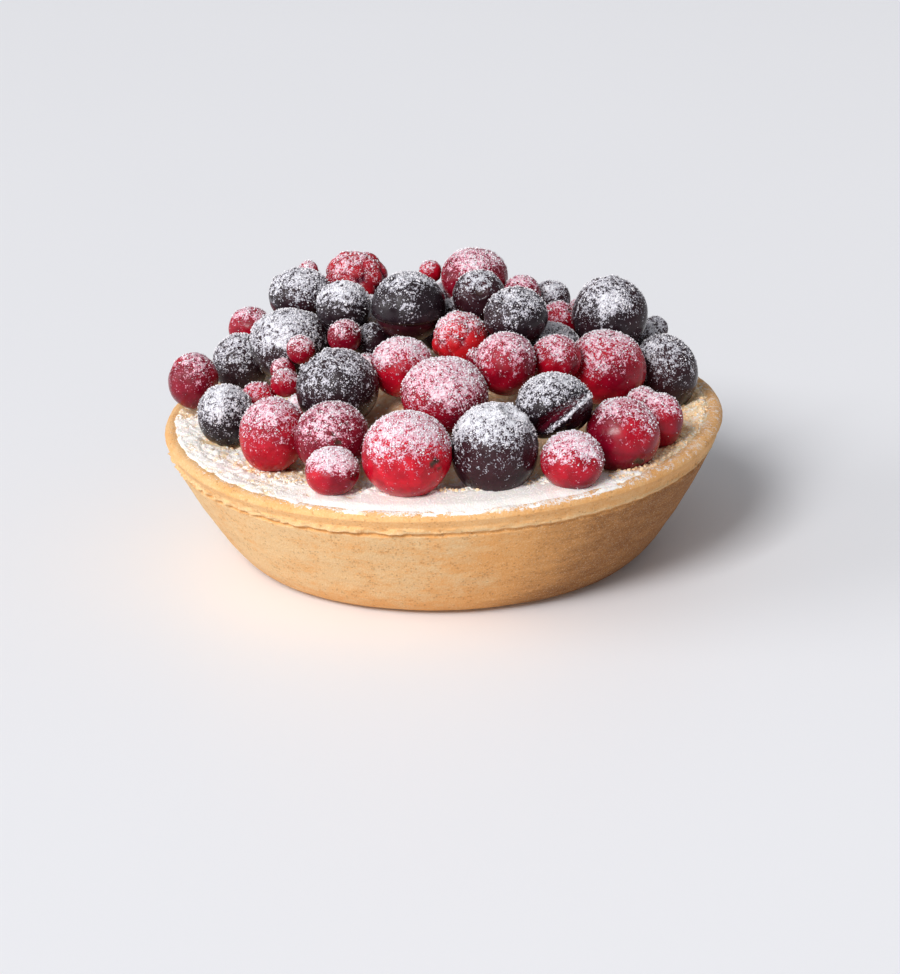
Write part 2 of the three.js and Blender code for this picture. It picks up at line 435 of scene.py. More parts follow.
class Surface(NodeBench):
    """The nodes of one material, whose only shader is a Principled BSDF."""

    def __init__(self, name: str) -> None:
        """Starts the material."""
        self.material = bpy.data.materials.new(name)
        self.material.use_nodes = True
        super().__init__(self.material.node_tree)
        self.shader = self.tree.nodes["Principled BSDF"]
        self.place = self.add("ShaderNodeTexCoord").outputs["Object"]

    def mark(self, name: str, output: str = "Fac") -> Socket:
        """A number or colour that the mesh holds for each corner."""
        return self.add("ShaderNodeAttribute", attribute_name=name).outputs[output]

    def math(self, operation: str, *terms: Value) -> Socket:
        """One step of arithmetic."""
        return self.add("ShaderNodeMath", *terms, operation=operation).outputs[0]

    def ease(self, value: Value, low: float, high: float, start: float = 0.0, end: float = 1.0) -> Socket:
        """Carries a value smoothly from low..high to start..end.

        Args:
            value: the number to carry.
            low: where it starts to change.
            high: where it stops.
            start: the result at low.
            end: the result at high.

        Returns:
            The result.
        """
        limits = {"From_Min": low, "From_Max": high, "To_Min": start, "To_Max": end}
        node = self.add("ShaderNodeMapRange", interpolation_type="SMOOTHSTEP", Value=value, **limits)
        return node.outputs["Result"]

    def mix(
        self, share: Value, first: Value, second: Value, blend: str = "MIX", data: str = "RGBA"
    ) -> Socket:
        """Blends two colours, or two numbers when data is FLOAT.

        Args:
            share: how much of the second there is.
            first: a colour or number.
            second: another one.
            blend: the way of blending.
            data: RGBA or FLOAT.

        Returns:
            The blend.
        """
        node = self.add("ShaderNodeMix", share, data_type=data, blend_type=blend, clamp_factor=True)
        *pair, result = MIX_SOCKETS[data]
        for index, value in zip(pair, (first, second)):
            self.feed(node.inputs[index], value)
        return node.outputs[result]

    def layered(self, ground: Value, *layers: tuple[Socket, Colour]) -> Socket:
        """Lays colours over a ground one after another, each by its own mask.

        Args:
            ground: the colour underneath.
            layers: masks with their colours.

        Returns:
            The colour on top.
        """
        for mask, colour in layers:
            ground = self.mix(mask, ground, colour)
        return ground

    def noise(self, cloud: Cloud) -> Socket:
        """Draws a cloud on the object's coordinates.

        Args:
            cloud: its sizes.

        Returns:
            A number about 0.5 at each place.
        """
        place = self.place
        if cloud.stretch:
            place = self.add("ShaderNodeMapping", Vector=place, Scale=cloud.stretch).outputs["Vector"]
        fineness = {"Scale": 1.0 / cloud.size, "Detail": cloud.detail, "Roughness": cloud.roughness}
        return self.add("ShaderNodeTexNoise", Vector=place, **fineness).outputs["Fac"]

    def swing(self, cloud: Cloud) -> Socket:
        """A cloud about 0, which adds as much as it takes away."""
        return self.math("SUBTRACT", self.noise(cloud), 0.5)

    def grains(self, size: float, amount: Value) -> Socket:
        """Round specks, one in each small cell, shown in that share of the cells.

        Args:
            size: width of a cell.
            amount: share of the cells that hold a speck.

        Returns:
            A mask, 1 on a speck.
        """
        cells = self.add("ShaderNodeTexVoronoi", Vector=self.place, Scale=1.0 / size)
        chance = self.add("ShaderNodeSeparateColor", Color=cells.outputs["Color"])
        shown = self.math("LESS_THAN", chance.outputs["Red"], amount)
        return self.math("MULTIPLY", shown, self.ease(cells.outputs["Distance"], 0.6, 0.38))

    def bumped(self, *layers: tuple[Socket, float, float]) -> Socket:
        """A normal bumped by layers, each with a pattern, its depth and its strength.

        Args:
            layers: the patterns, undermost first.

        Returns:
            The bumped normal.
        """
        normal = None
        for height, depth, strength in layers:
            node = self.add("ShaderNodeBump", Height=height, Distance=depth, Strength=strength)
            if normal:
                self.fill(node, Normal=normal)
            normal = node.outputs["Normal"]
        return normal

    def finish(self, colour: Socket, roughness: Value, **inputs: Value) -> bpy.types.Material:
        """Joins the results to the shader; inputs are the others that it gets."""
        self.fill(self.shader, Base_Color=colour, Roughness=roughness, **inputs)
        return self.material


@dataclass(frozen=True)
class SugarLook:
    """Icing sugar: the sizes of its specks, grit, clumps and drifts, and its white.

    Fields:
        loose_share: share of the cells with a loose speck, where the sugar is thick.
        contrast: how strongly clumps and grit break up an even layer.
        edge: the level at which sugar starts to hide what is under it.
        softness: how slowly it does so.
        thickening: the levels between which it goes from thin to thick.
    """

    speck: float = 0.2 * MM
    grit: float = 0.28 * MM
    clump: float = 0.95 * MM
    drift: float = 2.6 * MM
    loose_share: float = 0.115
    contrast: float = 1.9
    edge: float = 0.61
    softness: float = 0.24
    thickening: tuple[float, float] = (0.55, 1.3)
    white: Colour = (0.88, 0.87, 0.90)

    def lay(self, bench: Surface, amount: Socket) -> tuple[Socket, Socket]:
        """Turns a smooth amount of sugar into lacy clumps and loose specks.

        Args:
            bench: the material being made.
            amount: the amount at each place, from 0 to 1.

        Returns:
            The mask of everything white, and how thickly it lies.
        """
        drift = bench.math("MULTIPLY", bench.swing(Cloud(self.drift, 3.0, 0.6)), bench.ease(amount, 0.0, 0.3))
        local = bench.math("MULTIPLY_ADD", drift, 0.7, amount)
        level = local
        for cloud in (Cloud(self.clump, 2.0, 0.6), Cloud(self.grit, 1.5, 0.6)):
            level = bench.math("MULTIPLY_ADD", bench.swing(cloud), self.contrast, level)
        clumps = bench.ease(level, self.edge - self.softness / 2.0, self.edge + self.softness / 2.0)
        loose = bench.grains(self.speck, bench.math("MULTIPLY_ADD", local, self.loose_share, -0.01))
        return bench.math("MAXIMUM", clumps, loose), bench.ease(level, *self.thickening)


@dataclass(frozen=True)
class SugaredSkin:
    """The skin of a berry under sugar. Its own colour comes from the mesh.

    Fields:
        name: the finish's name.
        tint: the colour of sugar that is thin enough to show the skin.
        sugar: the sugar on it.
        gloss: roughness of the bare skin where it is wettest.
        depth: how much light passes through the flesh.
    """

    name: str
    tint: Colour
    sugar: SugarLook
    gloss: float
    depth: float = 0.0
    glow: Triple = (1.0, 0.2, 0.1)
    glow_reach: float = 1.2 * MM
    shine: float = 0.26
    sugar_roughness: float = 0.85
    mottle: Cloud = Cloud(2.2 * MM, 4.0, 0.6)
    dampness: Cloud = Cloud(1.1 * MM, 3.0)
    wrinkles: Cloud = Cloud(0.9 * MM, 3.0, 0.6)

    def make(self) -> bpy.types.Material:
        """Makes the material.

        Returns:
            The material.
        """
        bench = Surface(self.name)
        amount = bench.mark(SUGAR)
        mask, thick = self.sugar.lay(bench, amount)
        shade = bench.ease(bench.noise(self.mottle), 0.3, 0.7, 0.75, 1.25)
        skin = bench.mix(1.0, bench.mark(SKIN, "Color"), shade, "MULTIPLY")
        colour = bench.mix(mask, skin, bench.mix(thick, self.tint, self.sugar.white))
        wet = bench.ease(bench.noise(self.dampness), 0.35, 0.7, self.gloss, self.gloss + 0.12)
        wet = bench.math("ADD", wet, bench.ease(amount, 0.05, 0.5, 0.0, 0.3))
        normal = bench.bumped(
            (bench.noise(self.wrinkles), 0.05 * MM, 0.5),
            (bench.math("MULTIPLY_ADD", thick, 1.5, mask), 0.09 * MM, 0.8),
        )
        return bench.finish(
            colour,
            bench.mix(mask, wet, self.sugar_roughness, data="FLOAT"),
            Normal=normal,
            Subsurface_Weight=self.depth,
            Subsurface_Radius=self.glow,
            Subsurface_Scale=self.glow_reach,
            Specular_IOR_Level=self.shine,
        )


@dataclass(frozen=True)
class BakedPastry:
    """Golden shortcrust: sandy, finely pitted, browner where the mesh says so; that mark also holds painted
    shade on the right-hand side and in the crease under the seam and painted light on the left, and the pits
    are painted darker as shade.

    Fields:
        weights: how strongly the mottle, the sand and the streaks change the bake.
        pit: width of the cells that may hold a pit.
    """

    name: str = "baked_pastry"
    pale: Colour = (0.74, 0.49, 0.25)
    golden: Colour = (0.74, 0.36, 0.12)
    brown: Colour = (0.20, 0.068, 0.018)
    fleck: Colour = (0.86, 0.66, 0.41)
    rolled_and_lit: Colour = (0.87, 0.49, 0.205)
    sugar: SugarLook = SugarLook(contrast=1.1, softness=0.45, white=(0.92, 0.89, 0.87))
    mottle: Cloud = Cloud(6.0 * MM, 4.0, 0.6)
    sand: Cloud = Cloud(0.5 * MM, 4.0, 0.75, (0.7, 0.7, 1.0))
    streaks: Cloud = Cloud(1.6 * MM, 3.0, 0.6, (0.3, 0.3, 1.5))
    weights: Triple = (1.2, 0.8, 0.65)
    flour: Cloud = Cloud(0.3 * MM, 2.0, 0.6)
    pit: float = 0.42 * MM
    pitted_parts: Cloud = Cloud(3.0 * MM)
    grit: Cloud = Cloud(0.36 * MM, 4.0, 0.75)
    lumps: Cloud = Cloud(1.5 * MM, 4.0, 0.62, (0.6, 0.6, 1.0))
    roughness: float = 0.78
    shine: float = 0.22

    def make(self) -> bpy.types.Material:
        """Makes the material.

        Returns:
            The material.
        """
        bench = Surface(self.name)
        baked_and_shaded = bench.mark(BAKED_AND_SHADED)
        swings = [bench.swing(cloud) for cloud in (self.mottle, self.sand, self.streaks)]
        local = baked_and_shaded
        for swing, weight in zip(swings, self.weights):
            local = bench.math("MULTIPLY_ADD", swing, weight, local)
        deep_brown_and_shade = bench.math("MULTIPLY_ADD", bench.math("ADD", swings[1], swings[2]), 0.45, baked_and_shaded)
        # How much of the rolled colour lies here, raised at the far right of the band as painted light.
        smooth = bench.math("MULTIPLY", bench.mark(ROLLED_AND_LIT), bench.ease(local, 0.75, -0.1, 0.35, 1.0))
        flour = bench.noise(self.flour)
        pits = bench.grains(self.pit, bench.ease(bench.noise(self.pitted_parts), 0.4, 0.75, 0.02, 0.35))
        mask, _ = self.sugar.lay(bench, bench.mark(SUGAR))
        colour = bench.layered(
            self.pale,
            (bench.ease(local, -0.1, 0.5), self.golden),
            # Dark browning, with the painted shade that the mesh's mark holds.
            (bench.ease(deep_brown_and_shade, 0.4, 1.2), self.brown),
            (smooth, self.rolled_and_lit),
            (bench.ease(flour, 0.5, 0.74, 0.0, 0.42), self.fleck),
            (bench.ease(flour, 0.5, 0.28, 0.0, 0.4), self.golden),
            # Pits painted browner: painted shade in the recesses.
            (bench.math("MULTIPLY", pits, 0.26), self.brown),
            (bench.math("MULTIPLY", mask, 0.92), self.sugar.white),
        )
        normal = bench.bumped(
            (bench.noise(self.grit), 0.24 * MM, 0.9),
            (bench.noise(self.lumps), 0.45 * MM, 0.55),
            (bench.math("MULTIPLY", pits, -1.0), 0.1 * MM, 0.6),
            (mask, 0.08 * MM, 0.6),
        )
        return bench.finish(colour, self.roughness, Normal=normal, Specular_IOR_Level=self.shine)


@dataclass(frozen=True)
class CrumbBed:
    """The almond crumb that fills the tart, stained by juice, painted darker in the middle as shade between
    the berries, and buried in sugar in places.
    """

    name: str = "almond_crumb"
    pale: Colour = (0.90, 0.72, 0.49)
    golden: Colour = (0.88, 0.57, 0.30)
    # The stain's colour, also used for the painted shade in the middle under the heap.
    stain: Colour = (0.30, 0.035, 0.03)
    sugar: SugarLook = SugarLook(
        speck=0.3 * MM,
        grit=0.5 * MM,
        clump=1.4 * MM,
        contrast=0.9,
        softness=0.6,
        white=(0.935, 0.885, 0.845),
    )
    mottle: Cloud = Cloud(1.3 * MM, 5.0, 0.68)
    lumps: Cloud = Cloud(1.1 * MM, 3.0, 0.6)
    grit: Cloud = Cloud(0.34 * MM, 2.0, 0.6)
    roughness: float = 0.8
    shine: float = 0.1
    depth: float = 0.15
    glow_reach: float = 0.5 * MM

    def make(self) -> bpy.types.Material:
        """Makes the material.

        Returns:
            The material.
        """
        bench = Surface(self.name)
        mottle = bench.noise(self.mottle)
        mask, thick = self.sugar.lay(bench, bench.mark(SUGAR))
        colour = bench.layered(
            self.pale,
            (bench.ease(mottle, 0.36, 0.66), self.golden),
            # Juice stains, and painted shade in the middle under the heap.
            (bench.math("MULTIPLY", bench.mark(JUICE_AND_SHADE), bench.ease(mottle, 0.3, 0.6, 0.5, 1.0)), self.stain),
            (mask, self.sugar.white),
        )
        normal = bench.bumped(
            (bench.noise(self.lumps), 0.16 * MM, 0.6),
            (bench.noise(self.grit), 0.15 * MM, 0.8),
            (bench.math("ADD", mask, thick), 0.05 * MM, 0.5),
        )
        return bench.finish(
            colour,
            self.roughness,
            Normal=normal,
            Specular_IOR_Level=self.shine,
            Subsurface_Weight=self.depth,
            Subsurface_Scale=self.glow_reach,
        )


@dataclass(frozen=True)
class Powder:
    """Loose grains: one colour with small changes from grain to grain."""

    name: str
    light: Colour
    dark: Colour
    patch: float = 0.8 * MM
    grit: Cloud = Cloud(0.2 * MM, 3.0, 0.6)
    roughness: float = 0.75
    shine: float = 0.3

    def make(self) -> bpy.types.Material:
        """Makes the material.

        Returns:
            The material.
        """
        bench = Surface(self.name)
        patches = bench.noise(Cloud(self.patch, 3.0, 0.6))
        colour = bench.mix(bench.ease(patches, 0.35, 0.65), self.light, self.dark)
        normal = bench.bumped((bench.noise(self.grit), 0.05 * MM, 0.5))
        return bench.finish(colour, self.roughness, Normal=normal, Specular_IOR_Level=self.shine)


# ---------------------------------------------------------------------------------------------
# Berries
# ---------------------------------------------------------------------------------------------


class Kind(Enum):
    """What a berry is: its node's first name, its mesh's cuts, how far it swells and its slot.

    Ripe fruit bulges a little past the firm solid that stands for it, until neighbours touch.
    """

    CRANBERRY = ("cranberry", 28, 1.065, "cranberry_skin")
    BLUEBERRY = ("blueberry", 30, 1.06, "blueberry_skin")
    CURRANT = ("currant", 14, 1.06, "currant_skin")
    RASPBERRY = ("raspberry", 44, 1.04, "raspberry_flesh")
    PINCHED = ("pinched_blueberry", 36, 1.03, "blueberry_skin")
    SPLIT = ("split_blueberry", 64, 1.06, "blueberry_skin")

    def __init__(self, label: str, cuts: int, swell: float, slot: str) -> None:
        """Names the parts of each kind's value.

        Args:
            label: start of the node's name.
            cuts: squares along a side of the mesh's grids.
            swell: how much larger it is drawn.
            slot: the record's material slot.
        """
        self.label = label
        self.cuts = cuts
        self.swell = swell
        self.slot = slot

    @property
    def dark(self) -> bool:
        """Whether the skin is blueberry dark."""
        return self in (Kind.BLUEBERRY, Kind.PINCHED, Kind.SPLIT)


# Where some berries turn their blossom end, by node.
CROWNS: dict[str, Triple] = {
    "cranberry_01": (0.66, -0.72, 0.05),
    "cranberry_02": (0.42, -0.72, 0.45),
    "cranberry_04": (0.4, -0.75, -0.5),
    "cranberry_03": (0.9, -0.4, 0.0),
    "blueberry_01": (0.42, -0.1, 0.9),
    "blueberry_05": (0.0, -0.86, 0.5),
    "blueberry_04": (-0.3, -0.35, 0.88),
    "blueberry_09": (-0.2, 0.4, 0.9),
    "blueberry_19": (-0.5, 0.2, 0.85),
    "pinched_blueberry_01": (0.0, 0.0, 1.0),
}
# How steep the sugar still clings, how level it closes into a layer, and how much there is.
DUSTING: dict[str, Triple] = {
    "cranberry_01": (-0.22, 0.95, 0.95),
    "cranberry_02": (-0.45, 1.1, 1.0),
    "cranberry_03": (-0.25, 1.0, 1.0),
    "cranberry_04": (-0.1, 1.2, 0.85),
    "cranberry_05": (-0.6, 1.4, 0.85),
    "cranberry_06": (-0.9, 1.2, 0.92),
    "cranberry_07": (-0.6, 1.3, 0.85),
    "cranberry_08": (-0.3, 1.15, 0.9),
    "cranberry_09": (-0.6, 1.2, 0.9),
    "cranberry_10": (-0.4, 1.0, 0.95),
    "cranberry_12": (-0.35, 1.05, 0.95),
    "cranberry_15": (-0.35, 1.25, 0.85),
    "blueberry_01": (-0.35, 0.9, 0.95),
    "blueberry_02": (-0.9, 1.3, 0.67),
    "blueberry_03": (-1.0, 1.1, 0.86),
    "blueberry_04": (-0.6, 1.3, 0.78),
    "blueberry_05": (-0.5, 1.4, 0.78),
    "blueberry_06": (-0.8, 1.4, 0.76),
    "blueberry_08": (-0.9, 1.4, 0.78),
    "blueberry_13": (-0.9, 1.2, 0.84),
    "blueberry_16": (-0.9, 1.2, 0.82),
    "blueberry_19": (-0.8, 1.2, 0.8),
    "currant_02": (-0.6, 0.6, 1.0),
    "currant_04": (-0.6, 0.5, 1.0),
    "pinched_blueberry_01": (-0.1, 1.4, 0.88),
    "split_blueberry_01": (-0.3, 1.25, 0.9),
    "raspberry_01": (-0.5, 1.2, 0.9),
    "raspberry_02": (-0.4, 1.5, 0.78),
}
# Berries with no frosted patch, partly painted highlight, on the side that faces the front.
WITHOUT_SUGAR_GLINT = (
    "cranberry_01",
    "cranberry_02",
    "blueberry_01",
    "blueberry_02",
    "blueberry_16",
    "blueberry_19",
    "split_blueberry_01",
)
# Room kept under the CAD model's top: over bare skin, and over sugared skin for loose grains.
SUGAR_ROOM = 0.25 * MM
GRAIN_ROOM = 0.4 * MM


@dataclass
class Berry:
    """One berry of the heap, with its place and half sizes from its node."""

    node: str
    kind: Kind
    centre: Array
    half: Array
    seed: int

    @property
    def crown(self) -> Array:
        """Unit direction of the blossom end.

        Returns:
            The direction.
        """
        rng = np.random.default_rng(self.seed + 400)
        chosen = CROWNS.get(self.node)
        direction = np.array(chosen) if chosen else rng.normal(size=3) + np.array([0.0, 0.4, 0.2])
        return direction / np.linalg.norm(direction)

    def build(self) -> Shell:
        """Makes the berry's mesh with its skin colours; its sugar is added later.

        Returns:
            The bare berry.
        """
        directions, faces = quad_ball(self.kind.cuts)
        reach, skin = SHAPERS[self.kind](self, directions)
        offset = directions * reach[:, None] * self.half * self.kind.swell
        corners = self.centre + offset @ self.squeeze()
        corners[:, 2] += min(0.0, CAD_TOP - SUGAR_ROOM - float(corners[:, 2].max()))
        return Shell(corners, faces, {SKIN: np.clip(skin, 0.0, 1.0)})

    def squeeze(self) -> Array:
        """A slight stretch along one random line, so that no berry is a true ball.

        Returns:
            A matrix that stretches places about the middle.
        """
        rng = np.random.default_rng(self.seed + 700)
        line = rng.normal(size=3)
        line /= np.linalg.norm(line)
        amount = rng.uniform(-0.07, 0.04)
        return np.eye(3) * (1.0 - amount / 3.0) + np.outer(line, line) * amount

    def lumps(self, directions: Array, strength: float) -> Array:
        """Gentle unevenness that no two berries share.

        Args:
            directions: unit directions from the middle.
            strength: height of the widest lumps.

        Returns:
            The rise at each direction, as a share of the half size.
        """
        shift = directions + self.seed * 3.1
        fine = value_noise(shift, 0.35, self.seed + 5)
        return strength * (value_noise(shift, 0.9, self.seed) + 0.45 * fine)

    def sideways(self, directions: Array) -> tuple[Array, Array]:
        """Angle of each direction from the crown, and its turn about the crown.

        Args:
            directions: unit directions from the middle.

        Returns:
            The angles and the turns, in radians.
        """
        axis = self.crown
        helper = np.array([0.0, 0.0, 1.0]) if abs(axis[2]) < 0.9 else np.array([1.0, 0.0, 0.0])
        first = np.cross(axis, helper)
        first /= np.linalg.norm(first)
        second = np.cross(axis, first)
        away = np.arccos(np.clip(directions @ axis, -1.0, 1.0))
        return away, np.arctan2(directions @ second, directions @ first)


def blend_colours(share: Array, first: Array | Colour, second: Array | Colour) -> Array:
    """Mixes two colours by a share for each corner."""
    return np.asarray(first) * (1.0 - share[:, None]) + np.asarray(second) * share[:, None]


RED_BRIGHT = (0.47, 0.004, 0.016)
RED_DEEP = (0.17, 0.002, 0.013)
RED_SPOT = (0.05, 0.022, 0.014)
DARK_BLUE = (0.014, 0.0075, 0.0105)
DARK_WINE = (0.036, 0.006, 0.010)
DARK_BROWN = (0.035, 0.014, 0.012)
FLESH = (0.10, 0.006, 0.016)
DRUPELET_RED = (0.58, 0.012, 0.016)
# Square to the slanting line along which one blueberry has burst.
SPLIT_SLANT = np.array([0.67, -0.24, -0.74])


def shape_cranberry(berry: Berry, directions: Array) -> tuple[Array, Array]:
    """A smooth firm fruit with a small dark blossom scar and a dent at the stem.

    Args:
        berry: the berry.
        directions: unit directions from its middle.

    Returns:
        How far out each corner lies, as a share of the half size, and its colour.
    """
    away, turn = berry.sideways(directions)
    rng = np.random.default_rng(berry.seed)
    reach = 0.985 + berry.lumps(directions, 0.036)
    scar = np.exp(-((away / 0.25) ** 2))
    star = 1.0 + 0.4 * np.cos(4.0 * turn)
    reach -= 0.05 * scar * star
    reach -= 0.06 * np.exp(-(((math.pi - away) / 0.22) ** 2))
    patch = smooth_step(-0.5, 0.7, value_noise(directions + berry.seed, 1.1, berry.seed + 9))
    usual = 0.05 if berry.node == "cranberry_01" else rng.uniform(0.5, 1.0)
    tone = np.clip(usual + 0.7 * (patch - 0.5), 0.0, 1.0)
    skin = blend_colours(tone, RED_BRIGHT, RED_DEEP)
    ragged = scar * (0.55 + 0.45 * value_noise(directions * 9.0, 1.0, berry.seed))
    return reach, blend_colours(smooth_step(0.3, 0.5, ragged), skin, RED_SPOT)


def shape_currant(berry: Berry, directions: Array) -> tuple[Array, Array]:
    """A small round fruit with the dried tip of its flower.

    Args:
        berry: the berry.
        directions: unit directions from its middle.

    Returns:
        How far out each corner lies, as a share of the half size, and its colour.
    """
    away, _ = berry.sideways(directions)
    reach = 0.98 + berry.lumps(directions, 0.035) + 0.08 * np.exp(-((away / 0.16) ** 2))
    rng = np.random.default_rng(berry.seed)
    tone = np.full(len(directions), rng.uniform(0.3, 1.0))
    skin = blend_colours(tone, RED_BRIGHT, RED_DEEP)
    return reach, blend_colours(np.exp(-((away / 0.2) ** 4)), skin, RED_SPOT)


def shape_blueberry(berry: Berry, directions: Array) -> tuple[Array, Array]:
    """A round dark fruit with an open, five-pointed crown round a dimple.

    Args:
        berry: the berry.
        directions: unit directions from its middle.

    Returns:
        How far out each corner lies, as a share of the half size, and its colour.
    """
    away, turn = berry.sideways(directions)
    reach = 0.985 + berry.lumps(directions, 0.034)
    points = 0.75 + 0.25 * np.cos(5.0 * turn) + 0.12 * value_noise(directions * 7.0, 1.0, berry.seed)
    reach -= 0.03 * smooth_step(0.75, 0.2, away)
    reach += 0.075 * points * np.exp(-(((away - 0.38) / 0.085) ** 2))
    reach -= 0.13 * smooth_step(0.34, 0.16, away)
    patch = smooth_step(-0.6, 0.7, value_noise(directions + berry.seed, 0.8, berry.seed + 3))
    rng = np.random.default_rng(berry.seed)
    tone = np.clip(rng.uniform(0.0, 0.7) + 0.5 * (patch - 0.5), 0.0, 1.0)
    skin = blend_colours(tone, DARK_BLUE, DARK_WINE)
    return reach, blend_colours(smooth_step(0.3, 0.1, away), skin, DARK_BROWN)


def shape_pinched(berry: Berry, directions: Array) -> tuple[Array, Array]:
    """A blueberry whose wide cap overhangs a narrower, wine-dark lower half.

    Args:
        berry: the berry.
        directions: unit directions from its middle.

    Returns:
        How far out each corner lies, as a share of the half size, and its colour.
    """
    height = directions[:, 2]
    reach = 0.985 + berry.lumps(directions, 0.012)
    reach -= 0.085 * smooth_step(-0.06, -0.26, height)
    reach -= 0.03 * np.exp(-(((height + 0.2) / 0.05) ** 2))
    skin = blend_colours(smooth_step(-0.05, -0.3, height), DARK_BLUE, DARK_WINE)
    return reach, skin


def shape_split(berry: Berry, directions: Array) -> tuple[Array, Array]:
    """A blueberry burst open along a slanting line, with a raised flap of skin to its right.

    Args:
        berry: the berry.
        directions: unit directions from its middle.

    Returns:
        How far out each corner lies, as a share of the half size, and its colour.
    """
    front = smooth_step(-0.1, 0.35, -directions[:, 1])
    offset = directions @ SPLIT_SLANT + 0.04 * value_noise(directions * 3.0, 1.0, berry.seed)
    lower = smooth_step(0.7, 0.3, directions[:, 2]) * smooth_step(-0.75, -0.35, directions[:, 0])
    groove = smooth_step(-0.24, 0.2, offset) * smooth_step(0.29, 0.22, offset)
    groove *= (0.22 + 0.78 * lower) * front
    lip = np.exp(-(((offset - 0.33) / 0.08) ** 2)) * front * smooth_step(-0.45, 0.0, directions[:, 0])
    reach = 0.965 + berry.lumps(directions, 0.022) - 0.34 * groove + 0.075 * lip
    reach -= 0.14 * smooth_step(0.42, 0.8, offset) * front
    torn = groove + 0.25 * value_noise(directions * 9.0, 1.0, berry.seed + 1) * lower
    skin = blend_colours(smooth_step(0.2, 0.6, torn), DARK_BLUE, FLESH)
    return reach, skin


def shape_raspberry(berry: Berry, directions: Array) -> tuple[Array, Array]:
    """A soft fruit of many drupelets, some of them burst and run together.

    Args:
        berry: the berry.
        directions: unit directions from its middle.

    Returns:
        How far out each corner lies, as a share of the half size, and its colour.
    """
    drupelets = 40
    rng = np.random.default_rng(berry.seed)
    seeds = even_directions(drupelets) + rng.normal(scale=0.1, size=(drupelets, 3))
    seeds /= np.linalg.norm(seeds, axis=1, keepdims=True)
    width = rng.uniform(0.27, 0.4, size=drupelets)
    away = np.min(np.arccos(np.clip(directions @ seeds.T, -1.0, 1.0)) / width, axis=1)
    drupelet = np.sqrt(np.clip(1.0 - away * away, 0.0, 1.0))
    burst = 0.45 if berry.node == "raspberry_02" else 1.0
    run = burst * smooth_step(-0.25, 0.45, value_noise(directions * 1.6, 1.0, berry.seed))
    drupelet = drupelet * (1.0 - 0.75 * run) + 0.55 * run
    reach = 0.85 + 0.12 * drupelet + berry.lumps(directions, 0.06)
    # Darker between the drupelets: painted shade in the crevices. Also darker where they have not run
    # together, and on the less burst berry.
    shade = 0.7 * (1.0 - drupelet) + 0.25 * (1.0 - run) + 0.5 * (1.0 - burst)
    return reach, blend_colours(shade, DRUPELET_RED, RED_DEEP)


SHAPERS: dict[Kind, Callable[[Berry, Array], tuple[Array, Array]]] = {
    Kind.CRANBERRY: shape_cranberry,
    Kind.BLUEBERRY: shape_blueberry,
    Kind.CURRANT: shape_currant,
    Kind.RASPBERRY: shape_raspberry,
    Kind.PINCHED: shape_pinched,
    Kind.SPLIT: shape_split,
}

SKINS = (
    SugaredSkin("cranberry_skin", (0.72, 0.26, 0.36), SugarLook(white=(0.86, 0.72, 0.77)), 0.15, 0.05),
    SugaredSkin("blueberry_skin", (0.44, 0.42, 0.48), SugarLook(white=(0.80, 0.80, 0.84)), 0.14),
    SugaredSkin("currant_skin", (0.74, 0.36, 0.45), SugarLook(white=(0.88, 0.80, 0.83)), 0.12, 0.05),
    SugaredSkin("raspberry_flesh", (0.80, 0.36, 0.44), SugarLook(white=(0.86, 0.74, 0.79)), 0.16, 0.12),
)


